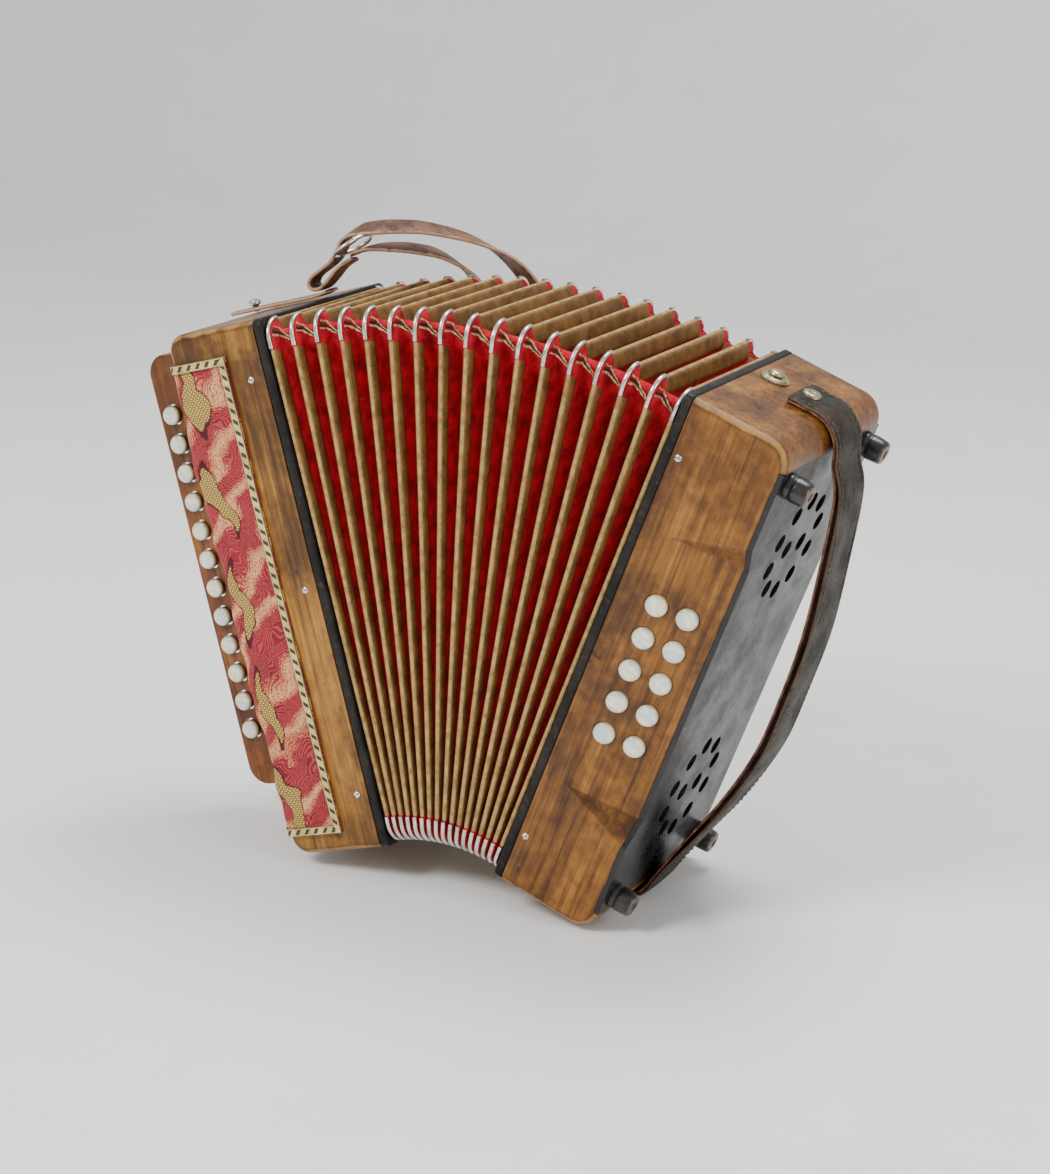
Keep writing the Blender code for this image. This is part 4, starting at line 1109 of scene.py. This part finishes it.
# ---- Pearl buttons, levers and the fingerboard -----------------------------------------------
# The treble buttons are mother-of-pearl discs on wooden shanks. Each is pinned to a steel lever
# that rocks on one long axle behind the board and lifts a leathered pallet inside the casing.
BOARD_OUTER, BOARD_LOW, BOARD_HIGH, BOARD_FRONT, BOARD_THICK = -0.125, 0.026, 0.288, 0.065, 0.005
KEYS, KEY_PITCH, KEY_LOWEST, KEY_X = 12, 0.0174, 0.0609, -0.1152
AXLE_X, AXLE_Y = -0.066, 0.076
PALLET_X, PALLET_BACK = -0.036, 0.0815
pearl, tree, shader = new_material("pearl", 0.16, Coat_Weight=0.8, Coat_Roughness=0.06)
spot = object_coordinates(tree)
clouds = use(tree, MOTTLE, {"Vector": spot, "Scale": 110.0, "Dark": (0.66, 0.64, 0.51),
                            "Light": (0.92, 0.90, 0.76), "Low": 0.35, "High": 0.6})
bands = add(tree, "TexWave", {"Vector": spot, "Scale": 32.0, "Distortion": 9.0, "Detail": 2.0,
                              "Detail Scale": 2.0}, bands_direction="DIAGONAL").outputs["Fac"]
cool = blended(tree, between(tree, bands, 0.62, 0.95), clouds["Color"], (0.58, 0.68, 0.62))
warm = blended(tree, between(tree, bands, 0.22, 0.02), cool, (0.84, 0.73, 0.50))
# Painted shade: each pearl's rounded rim is darkened towards brownish cream.
rim = add(tree, "Attribute", attribute_name="rim").outputs["Fac"]
warm = blended(tree, calc(tree, "MULTIPLY", rim, 0.85), warm, (0.36, 0.27, 0.13))
paint(tree, shader, warm, spread(tree, bands, 0.12, 0.24), bands, 0.00003, 0.4)

steel = make_metal("dull_steel", 0.4, (0.13, 0.11, 0.09), (0.42, 0.40, 0.37), scale=120.0, dull=0.55, bright=0.32,
                   scratches=(1400.0,), relief=0.00005)

KEY_RADIUS, KEY_PROUD = 0.0056, 0.004


def button_cap(radius, face, back):
    """A button's section, tip first: a slightly domed face, a rounded edge, a straight side."""
    bevel = 0.0016
    arc = [(radius - bevel + bevel * math.sin(a), face - bevel + bevel * math.cos(a) - 0.00035)
           for a in np.linspace(0.25, np.pi / 2, 7)]
    dome = [(0, face), (radius * 0.25, face - 0.00003), (radius * 0.5, face - 0.00016)]
    return [*dome, *arc, (radius, back)]


def pearl_cap(name, radius, face, back, centre, axis):
    """A pearl button: the section spun about its axis, with its rim marked for the painted shade that darkens its
    edge.
    """
    profile = button_cap(radius, face, back)
    piece = new_piece(name, *turned(profile, centre, axis, 44), pearl)
    share = np.array([ring[0] for ring in profile]) / radius
    mark(piece, "rim", np.repeat(np.clip((share - 0.74) / 0.26, 0, 1), 44))
    return piece


def smooth_route(points, steps):
    """A Catmull-Rom curve through the points, with so many steps to each stretch."""
    points = np.asarray(points, float)
    ends = np.vstack([2 * points[0] - points[1], points, 2 * points[-1] - points[-2]])
    before, start, end, after = (ends[shift:len(ends) - 3 + shift, None] for shift in range(4))
    t = (np.arange(steps) / steps)[None, :, None]
    curve = 0.5 * (2 * start + (end - before) * t + (2 * before - 5 * start + 4 * end - after) * t**2
                   + (3 * start - before - 3 * end + after) * t**3)
    return np.vstack([curve.reshape(-1, points.shape[1]), points[-1:]])


def make_key(row):
    """Button, then lever, eye and pallet, for key number row counted up from the bottom."""
    body, height = f"key_{row:02d}", KEY_LOWEST + (row - 1) * KEY_PITCH
    base = on_treble((KEY_X, AXLE_Y, height))
    cap_face = AXLE_Y - (BOARD_FRONT - KEY_PROUD)
    cap = pearl_cap(f"pearl_button_{row:02d}", KEY_RADIUS, cap_face, 0.0125, base, front)
    fit(cap, body, "pearl", f"treble_key_{row:02d}")
    shank = turned([(0, 0.0127), (KEY_RADIUS * 0.93, 0.0126), (KEY_RADIUS * 0.93, 0.001), (0, 0.0008)],
                   base, front, 32)
    stretch = np.array([(KEY_X, 0.0), (KEY_X + 0.02, 0.0004), (AXLE_X - 0.006, 0), (AXLE_X, 0),
                        (AXLE_X + 0.006, 0), (PALLET_X + 0.003, 0.0)])
    route = smooth_route(stretch, 5)
    line = on_treble(np.stack([route[:, 0], AXLE_Y + route[:, 1], np.full(len(route), height)], -1))
    lever = swept(line, np.tile(turn_treble((0, 0, 1.0)), (len(line), 1)), oval(0.0028, 0.0022, 10))[:2]
    eye = turned([(0.0019, 0.003), (0.0040, 0.003), (0.0042, 0.0027), (0.0042, -0.0027), (0.0040, -0.003),
                  (0.0019, -0.003)], on_treble((AXLE_X, AXLE_Y, height)), turn_treble((0, 0, 1.0)), 24)
    metal = new_piece(f"key_lever_{row:02d}", *joined([lever, eye]), steel)
    fit(metal, body, "nickel")
    wood = new_piece(f"key_shank_{row:02d}", *shank, board_walnut)
    fit(wood, body, "walnut")
    grids = [ticks(-0.008, 3, -0.006, 4, 0.006, 3, 0.008), ticks(0, 2, 0.0008, 2, 0.0035, 2, 0.0043),
             ticks(-0.0065, 3, -0.0050, 4, 0.0050, 3, 0.0065)]
    points, faces, _ = rounded_block(grids, 0.0008, 0.0015, 1)
    pad = new_piece(f"key_pallet_{row:02d}", on_treble(points + (PALLET_X, PALLET_BACK - 0.0044, height)), faces,
                    bare_spruce)
    fit(pad, body, "bare_spruce")


bare_spruce, tree, shader = new_material("bare_spruce", 0.7)
upright = add(tree, "Mapping", {"Vector": object_coordinates(tree), "Rotation": (0, -treble_lean, 0)}).outputs[0]
grain = use(tree, GRAIN, {"Vector": upright, "Dark": (0.30, 0.19, 0.10), "Middle": (0.48, 0.34, 0.19),
                          "Light": (0.62, 0.47, 0.29)})
paint(tree, shader, grain["Color"], None, grain["Height"], 0.0001, 0.4)
for name in ("treble_reed_block", "bass_reed_block"):
    frame["nodes"][name].data.materials.clear()
    frame["nodes"][name].data.materials.append(bare_spruce)
frame["nodes"]["key_axle"].data.materials.clear()
frame["nodes"]["key_axle"].data.materials.append(steel)
for row in range(1, KEYS + 1):
    make_key(row)


def make_fingerboard():
    """A walnut board with softened edges, bored for the button shanks."""
    grids = [
        ticks(BOARD_OUTER, 14, BOARD_OUTER + 0.012, 8, -TREBLE_WIDTH - 0.0002),
        ticks(BOARD_FRONT, 3, BOARD_FRONT + 0.001, 2, BOARD_FRONT + BOARD_THICK - 0.001, 3,
              BOARD_FRONT + BOARD_THICK),
        ticks(BOARD_LOW, 14, BOARD_LOW + 0.012, 30, BOARD_HIGH - 0.012, 14, BOARD_HIGH),
    ]
    points, faces, worn = rounded_block(grids, 0.001, 0.012, -1)
    board = new_piece("finger_board", on_treble(points), faces, board_walnut)
    mark(board, "worn", worn)
    holes = [turned([(0.0065, 0.02), (0.0065, -0.02)],
                    on_treble((KEY_X, BOARD_FRONT, KEY_LOWEST + row * KEY_PITCH)), front, 28)
             for row in range(KEYS)]
    cut_away(board, *joined(holes))
    fit(board, "treble_side", "walnut", "fingerboard")


make_fingerboard()


# ---- Bass buttons ----------------------------------------------------------------------------
# Two columns of five pearl discs, each on a stem that slides in its own well in the sloping
# floor of the finger recess.
BASS_RADIUS, BASS_PROUD = 0.00615, 0.0024
out = turn_bass(recess_out)
for number, place in enumerate(bass_button_places(), 1):
    cap = pearl_cap(f"bass_pearl_{number:02d}", BASS_RADIUS, BASS_PROUD, -0.0125, on_bass(place), out)
    fit(cap, f"button_{number:02d}", "pearl", f"bass_button_{number:02d}")


# ---- Feet: four turned pegs ------------------------------------------------------------------
# Ebonised beech pegs, glued into the end plate, keep the strap and the sound holes off a table.
# Use has worn the rim of each to bare wood.
FOOT_Y, FOOT_Z = 0.0132, 0.0224
foot_end = turn_bass((1.0, 0, 0))
foot_profile = [(0, 0.0122), (0.0021, 0.0122), (0.0024, 0.0126), (0.0030, 0.0130), (0.0046, 0.0130),
                (0.0057, 0.0127), (0.0063, 0.0120), (0.0066, 0.0108), (0.0068, 0.0090), (0.0070, 0.0058),
                (0.0070, 0.0040), (0.0067, 0.0034), (0.0067, 0.0028), (0.0070, 0.0022), (0.0070, 0.0002),
                (0, 0.0001)]
ebonised, tree, shader = new_material("ebonised_beech", 0.36, Coat_Weight=0.2)
spot = object_coordinates(tree)
edge = add(tree, "Attribute", attribute_name="worn").outputs["Fac"]
worn = use(tree, RUBBING, {"Vector": spot, "Edge": edge, "Scale": 300.0, "Amount": 0.42})["Mask"]
ground = use(tree, MOTTLE, {"Vector": spot, "Scale": 120.0, "Dark": (0.006, 0.005, 0.005),
                            "Light": (0.022, 0.019, 0.017)})
paint(tree, shader, blended(tree, worn, ground["Color"], (0.20, 0.115, 0.065)), spread(tree, worn, 0.32, 0.6),
      ground["Mask"], 0.0001, 0.4)
feet = [(y, z) for z in (FOOT_Z, HEIGHT - FOOT_Z) for y in (FOOT_Y, DEPTH - FOOT_Y)]
for number, (y, z) in enumerate(feet, 1):
    foot = new_piece(f"turned_foot_{number}", *turned(foot_profile, on_bass((BASS_WIDTH, y, z)), foot_end, 48),
                     ebonised, sharp=50)
    mark(foot, "worn", np.repeat([0.2, 0.2, 0.6, 0.9, 0.7, 0.9, 0.6, 0.2, *([0] * 8)], 48).astype(float))
    fit(foot, "bass_side", "black_lacquer", f"bass_foot_{number}")


# ---- Hand strap: two layers of stitched harness leather --------------------------------------
# The left hand goes under this strap. An outer band of blackened leather is stitched over a
# redder lining, and the two are riveted to the top of the bass casing and fixed under it.
STRAP_Y, STRAP_WIDTH = 0.072, 0.034
STRAP_ROUTE = (
    (0.028, 0.3021), (0.036, 0.3021), (0.044, 0.3021), (0.0526, 0.3001), (0.0602, 0.2930),
    (0.0650, 0.281), (0.0730, 0.267), (0.0810, 0.233), (0.0880, 0.190), (0.0905, 0.150),
    (0.0900, 0.1155), (0.0830, 0.0785), (0.0720, 0.045), (0.0650, 0.022), (0.0602, 0.0070),
    (0.0526, -0.0001), (0.044, -0.0021), (0.034, -0.0021),
)


def make_leather(name, dark, light, rubbed, scale=55.0, sheen=0.35):
    """Vegetable-tanned leather: pebbled and clouded, paler on its cut edges and where it bends."""
    made, tree, shader = new_material(name, 0.55, Specular_IOR_Level=sheen)
    spot = object_coordinates(tree)
    cloud = use(tree, MOTTLE, {"Vector": spot, "Scale": scale, "Dark": dark, "Light": light,
                               "Low": 0.32, "High": 0.66})
    edge = add(tree, "Attribute", attribute_name="worn").outputs["Fac"]
    worn = use(tree, RUBBING, {"Vector": spot, "Edge": edge, "Scale": 170.0, "Amount": 0.52})["Mask"]
    scuff = use(tree, RUBBING, {"Vector": spot, "Edge": 0.10, "Scale": 520.0, "Amount": 1.0})["Mask"]
    pebble = add(tree, "TexVoronoi", {"Vector": spot, "Scale": 900.0}).outputs["Distance"]
    creases = speckle(tree, spot, 240.0, 5, 0.7)
    colour = blended(tree, worn, cloud["Color"], rubbed)
    colour = blended(tree, calc(tree, "MULTIPLY", scuff, 0.4), colour, rubbed)
    height = calc(tree, "ADD", calc(tree, "MULTIPLY", pebble, 0.6), creases)
    paint(tree, shader, colour, spread(tree, cloud["Mask"], 0.68, 0.48), height, 0.0004, 0.7)
    return made


strap_leather = make_leather("strap_leather", (0.009, 0.008, 0.006), (0.036, 0.028, 0.018), (0.100, 0.056, 0.030),
                             sheen=0.2)
lining_leather = make_leather("lining_leather", (0.045, 0.015, 0.007), (0.13, 0.048, 0.022), (0.28, 0.12, 0.06))
loop_leather = make_leather("loop_leather", (0.060, 0.024, 0.013), (0.19, 0.085, 0.048), (0.42, 0.25, 0.15), 80.0)


def strap_profile(width, thick, crown, sides=9):
    """A strap's section: flat underneath, crowned on top, with burnished round edges."""
    half = width / 2
    edge = thick / 2
    across = np.linspace(-1, 1, 2 * sides + 1)
    upper = thick / 2 + crown * (1 - across**2)
    groove = 0.00018 * np.exp(-((np.abs(across) - 0.80) / 0.05) ** 2)
    top = np.stack([across * (half - edge), upper - groove], -1)
    arc = np.linspace(np.pi / 2, -np.pi / 2, 7)[1:-1]
    right = np.stack([half - edge + edge * np.cos(arc), edge * np.sin(arc)], -1)
    bottom = np.stack([across[::-3] * (half - edge), np.full(len(across[::-3]), -thick / 2)], -1)
    left = np.stack([-half + edge - edge * np.cos(arc[::-1]), edge * np.sin(arc[::-1])], -1)
    return np.vstack([top, right, bottom, left])


def band(name, path, across, profile, material, put, worn_width):
    """A strap along a path, with how near each point is to an edge kept for its wear."""
    points, faces, uv = swept(path, across, profile)
    piece = new_piece(name, put(points), faces, material, uv, 60)
    near = np.clip(1 - (worn_width - np.abs(profile[:, 0])) / 0.0016, 0, 1)
    mark(piece, "worn", np.tile(near, len(path)))
    return piece


def stitch_row(path, across, lift, offset, height, pitch, length, thick):
    """Stitches as small long beads set along a path, all worked out at once."""
    steps = np.linalg.norm(np.diff(path, axis=0), axis=1)
    run = np.concatenate([[0], np.cumsum(steps)])
    places = np.arange(pitch, run[-1] - pitch / 2, pitch)
    middle = np.stack([np.interp(places, run, path[:, axis]) for axis in range(3)], -1)
    along = directions(path)
    turned_along, side, up = (unit(np.stack([np.interp(places, run, way[:, axis]) for axis in range(3)], -1))
                              for way in (along, across, lift))
    turn = 2 * np.pi * np.arange(6) / 6
    rows = np.linspace(-1, 1, 5)
    girth = np.sqrt(np.maximum(1 - rows**2, 0.04)) * thick / 2
    bead = (middle[:, None, None] + side[:, None, None] * offset + up[:, None, None] * height
            + turned_along[:, None, None] * rows[None, :, None, None] * length / 2
            + side[:, None, None] * (girth[:, None] * np.cos(turn))[None, :, :, None]
            + up[:, None, None] * (girth[:, None] * np.sin(turn))[None, :, :, None])
    faces = grid_faces(5, 6, False, True)
    single = [*faces.tolist(), list(range(5, -1, -1)), list(range(24, 30))]
    all_faces = [[corner + 30 * number for corner in face] for number in range(len(places)) for face in single]
    return bead.reshape(-1, 3), all_faces


thread, tree, shader = new_material("waxed_thread", 0.6)
twist = use(tree, MOTTLE, {"Vector": object_coordinates(tree), "Scale": 600.0, "Dark": (0.030, 0.022, 0.015),
                           "Light": (0.19, 0.14, 0.095)})
paint(tree, shader, twist["Color"])


def make_hand_strap():
    line = smooth_route([(x, STRAP_Y, z) for x, z in STRAP_ROUTE], 6)
    across = np.tile([0.0, 1, 0], (len(line), 1))
    lift = np.cross(directions(line), unit(across))
    bulge = np.clip((line[:, :1] - 0.062) / 0.02, 0, 1)
    outer_line = line + lift * 0.0007 + lift * 0.0004 * bulge
    inner_line = line - lift * 0.0008 - lift * 0.0021 * bulge
    ripple = 0.00025 * np.sin(np.arange(len(line)) * 0.55)[:, None]
    outer = band("hand_strap_outer", outer_line + lift * ripple, across,
                 strap_profile(STRAP_WIDTH, 0.0016, 0.0004), strap_leather, on_bass, STRAP_WIDTH / 2)
    fit(outer, "bass_side", "brown_leather", "hand_strap")
    inner = band("hand_strap_lining", inner_line, -across, strap_profile(STRAP_WIDTH - 0.001, 0.0014, 0.0001),
                 lining_leather, on_bass, STRAP_WIDTH / 2)
    fit(inner, "bass_side", "brown_leather")
    rows = [stitch_row(outer_line, across, lift, side * (STRAP_WIDTH / 2 - 0.0030), 0.00095, 0.0038,
                       0.0026, 0.0006)
            for side in (-1, 1)]
    points, faces = joined(rows)
    fit(new_piece("hand_strap_stitches", on_bass(points), faces, thread), "bass_side", "brown_leather")


make_hand_strap()


# ---- Brass: the rivet and the press stud -----------------------------------------------------
# A flat brass rivet holds the strap, and beside it a sprung press stud sits on a dished washer.
brass = make_metal("aged_brass", 0.34, (0.16, 0.13, 0.07), (0.56, 0.50, 0.31), scale=150.0, dull=0.6, bright=0.26,
                   scratches=(1300.0,), relief=0.00006, Low=0.34, High=0.60)
up = turn_bass((0, 0, 1.0))
stud_profile = [(0, 0.0050), (0.0022, 0.0050), (0.0035, 0.0046), (0.0042, 0.0039), (0.0043, 0.0031),
                (0.0036, 0.0025), (0.0031, 0.0021), (0.0044, 0.0018), (0.0047, 0.0022), (0.0058, 0.0022),
                (0.0070, 0.0016), (0.0080, 0.0008), (0.0080, 0.0002), (0, 0.0001)]
stud = new_piece("air_press_stud", *turned(stud_profile, on_bass((0.011, 0.078, HEIGHT)), up, 48), brass)
fit(stud, "bass_side", "aged_brass", "press_stud")
rivet_profile = [(0, 0.0052), (0.0020, 0.0052), (0.0024, 0.0057), (0.0040, 0.0058), (0.0050, 0.0051),
                 (0.0052, 0.0040), (0.0018, 0.0038), (0.0018, 0.0004), (0, 0.0003)]
rivet = new_piece("strap_rivet", *turned(rivet_profile, on_bass((0.0345, STRAP_Y, HEIGHT)), up, 40), brass)
fit(rivet, "bass_side", "aged_brass", "hand_strap_rivet")


# ---- Shoulder strap and its buckle -----------------------------------------------------------
# A narrow leather strap is studded to the top of the treble casing, folds through an oval wire
# buckle, and hangs in a loop behind the bellows.
LOOP_WIDTH = 0.013
BILLET_ROUTE = (
    (-0.0625, 0.078, 0.3019), (-0.040, 0.078, 0.3021), (-0.018, 0.078, 0.3021), (-0.004, 0.078, 0.3024),
    (0.004, 0.078, 0.3036),
)
LOOP_ROUTE = (
    ((0.0225, 0.080, 0.3180), (0, 1, 0)), ((0.0150, 0.078, 0.3150), (0, 1, 0)),
    ((0.0070, 0.078, 0.3098), (0, 1, 0)), ((0.0005, 0.078, 0.3062), (0, 1, 0)),
    ((-0.0048, 0.078, 0.3064), (0, 1, 0)), ((-0.0066, 0.078, 0.3096), (0, 1, 0)),
    ((-0.0030, 0.078, 0.3134), (0, 1, 0)), ((0.0040, 0.078, 0.3162), (0, 1, 0)),
    ((0.0108, 0.078, 0.3192), (0, 1, 0)), ((0.0165, 0.078, 0.3240), (0, 1, 0)),
    ((0.0210, 0.0785, 0.3296), (0, 1, 0.1)), ((0.0265, 0.079, 0.3322), (0, 1, 0.25)),
    ((0.0338, 0.082, 0.3324), (-0.15, 1, 0.4)), ((0.0440, 0.095, 0.3300), (-0.45, 0.9, 0.6)),
    ((0.0570, 0.111, 0.3240), (-0.6, 0.7, 0.6)),
    ((0.074, 0.132, 0.310), (-0.7, 0.5, 0.4)), ((0.086, 0.147, 0.290), (-1, 0.3, 0.1)),
    ((0.092, 0.154, 0.262), (-1, 0.1, 0)), ((0.093, 0.156, 0.220), (-1, 0.1, 0)),
    ((0.090, 0.156, 0.180), (-0.8, 0.6, 0)), ((0.082, 0.155, 0.156), (-0.3, 1, 0)),
    ((0.070, 0.155, 0.149), (0, 1, 0)), ((0.060, 0.154, 0.160), (0, 1, 0)),
    ((0.056, 0.152, 0.190), (-0.2, 1, 0)), ((0.057, 0.150, 0.230), (-0.5, 0.8, 0)),
    ((0.060, 0.147, 0.265), (-0.8, 0.5, 0.1)), ((0.060, 0.140, 0.290), (-0.8, 0.5, 0.3)),
    ((0.053, 0.125, 0.307), (-0.7, 0.6, 0.5)), ((0.045, 0.110, 0.3150), (-0.5, 0.8, 0.4)),
    ((0.036, 0.096, 0.3196), (-0.3, 0.9, 0.2)), ((0.0275, 0.086, 0.3214), (-0.1, 1, 0)),
    ((0.0195, 0.081, 0.3206), (0, 1, 0)),
)


def make_shoulder_strap():
    line = smooth_route([point for point, _ in LOOP_ROUTE], 8)
    across = smooth_route([side for _, side in LOOP_ROUTE], 8)
    strap = band("shoulder_strap_loop", line, across, strap_profile(LOOP_WIDTH, 0.0022, 0.0002, 6), loop_leather,
                 on_treble, LOOP_WIDTH / 2)
    fit(strap, "treble_side", "brown_leather", "shoulder_strap")
    line = smooth_route(BILLET_ROUTE, 8)
    billet = band("shoulder_strap_billet", line, np.tile([0.0, 1, 0], (len(line), 1)),
                  strap_profile(LOOP_WIDTH + 0.001, 0.0020, 0.0002, 6), loop_leather, on_treble, LOOP_WIDTH / 2)
    fit(billet, "treble_side", "brown_leather")


make_shoulder_strap()
treble_up = turn_treble((0, 0, 1.0))
angle = 2 * np.pi * np.arange(48) / 48
ring = np.stack([0.0105 * np.cos(angle), 0.0145 * np.sin(angle), 0.0004 * np.cos(2 * angle)], -1)
tilt, buckle_place = math.radians(-22), np.array([0.024, 0.079, 0.3254])
ring = placed(ring, buckle_place, tilt)
normal = placed(np.array([0.0, 0, 1]), 0, tilt)
wire, wire_faces, _ = swept(ring, np.tile(normal, (48, 1)), oval(0.0024, 0.0024, 12), True)
prong_line = placed(smooth_route([(-0.0112, 0, 0.0012), (-0.004, 0.0002, 0.0016), (0.004, 0, 0.0014),
                                  (0.0116, 0, 0.0016)], 6), buckle_place, tilt)
prong, prong_faces, _ = swept(prong_line, np.tile(normal, (len(prong_line), 1)), oval(0.0018, 0.0018, 10))
buckle_points, buckle_faces = joined([(wire, wire_faces), (prong, prong_faces)])
buckle = new_piece("oval_buckle", on_treble(buckle_points), buckle_faces, nickel)
fit(buckle, "treble_side", "nickel", "strap_buckle")
post_profile = [(0, 0.0078), (0.0018, 0.0077), (0.0032, 0.0070), (0.0037, 0.0058), (0.0034, 0.0046),
                (0.0020, 0.0040), (0.0017, 0.0034), (0.0017, 0.0004), (0, 0.0003)]
post = new_piece("strap_post", *turned(post_profile, on_treble((-0.049, 0.078, HEIGHT)), treble_up, 36), nickel)
fit(post, "treble_side", "nickel", "strap_stud")


# ---- Studio: floor, light and camera ---------------------------------------------------------
# A pale sweep under large soft lamps, with the camera low and to the right.
floor_material, tree, shader = new_material("pale_floor", 0.7)
tone = use(tree, MOTTLE, {"Vector": object_coordinates(tree), "Scale": 3.0, "Dark": (0.88, 0.88, 0.87),
                          "Light": (0.92, 0.92, 0.91)})
paint(tree, shader, tone["Color"])
reach = 3.0
steps = np.linspace(0, 1, 40)
ground_y = np.concatenate([np.linspace(-reach, 1.6, 20), 1.6 + 0.8 * np.sin(steps * np.pi / 2)])
ground_z = np.concatenate([np.zeros(20), 0.8 * (1 - np.cos(steps * np.pi / 2))])
across = np.linspace(-reach, reach, 3)
sweep = np.stack([np.repeat(across[:, None], 60, 1), np.tile(ground_y, (3, 1)), np.tile(ground_z, (3, 1))], -1)
new_piece("floor", sweep, grid_faces(3, 60)[:, ::-1], floor_material)

world = bpy.data.worlds.new("studio")
bpy.context.scene.world = world
world.use_nodes = True
world.node_tree.nodes["Background"].inputs["Color"].default_value = (1, 1, 1, 1)
world.node_tree.nodes["Background"].inputs["Strength"].default_value = 0.66


def lamp(name, place, target, size, power):
    light = bpy.data.lights.new(name, "AREA")
    light.shape = "DISK"
    light.size = size
    light.energy = power
    holder = bpy.data.objects.new(name, light)
    bpy.context.scene.collection.objects.link(holder)
    holder.location = place
    aim = np.array(target) - np.array(place)
    holder.rotation_euler = Vector(aim).to_track_quat("-Z", "Y").to_euler()


lamp("key_light", (-0.6, -1.4, 1.5), (0, 0, 0.15), 0.7, 32)
lamp("top_light", (0.2, 0.5, 1.8), (0, 0, 0.2), 0.9, 24)
lamp("side_light", (1.7, -0.5, 0.8), (0.1, 0, 0.15), 0.8, 9)

CAMERA_YAW, CAMERA_PITCH, CAMERA_ROLL = math.radians(-27.666), math.radians(16.937), math.radians(1.238)
CAMERA_TARGET, CAMERA_DISTANCE = np.array([0.17976, -0.29758, 0.26331]), 1.1560
forward = np.array([math.sin(CAMERA_YAW) * math.cos(CAMERA_PITCH), math.cos(CAMERA_YAW) * math.cos(CAMERA_PITCH),
                    -math.sin(CAMERA_PITCH)])
level = np.array([math.cos(CAMERA_YAW), -math.sin(CAMERA_YAW), 0])
lifted = np.cross(level, forward)
right = level * math.cos(CAMERA_ROLL) + lifted * math.sin(CAMERA_ROLL)
upward = lifted * math.cos(CAMERA_ROLL) - level * math.sin(CAMERA_ROLL)
camera = bpy.data.objects.new("camera", bpy.data.cameras.new("camera"))
bpy.context.scene.collection.objects.link(camera)
camera.data.lens = 82.88
camera.data.clip_start = 0.05
place = CAMERA_TARGET - forward * CAMERA_DISTANCE
rows = np.stack([right, upward, -forward, place], -1)
camera.matrix_world = Matrix([*rows.tolist(), [0, 0, 0, 1]])
bpy.context.scene.camera = camera
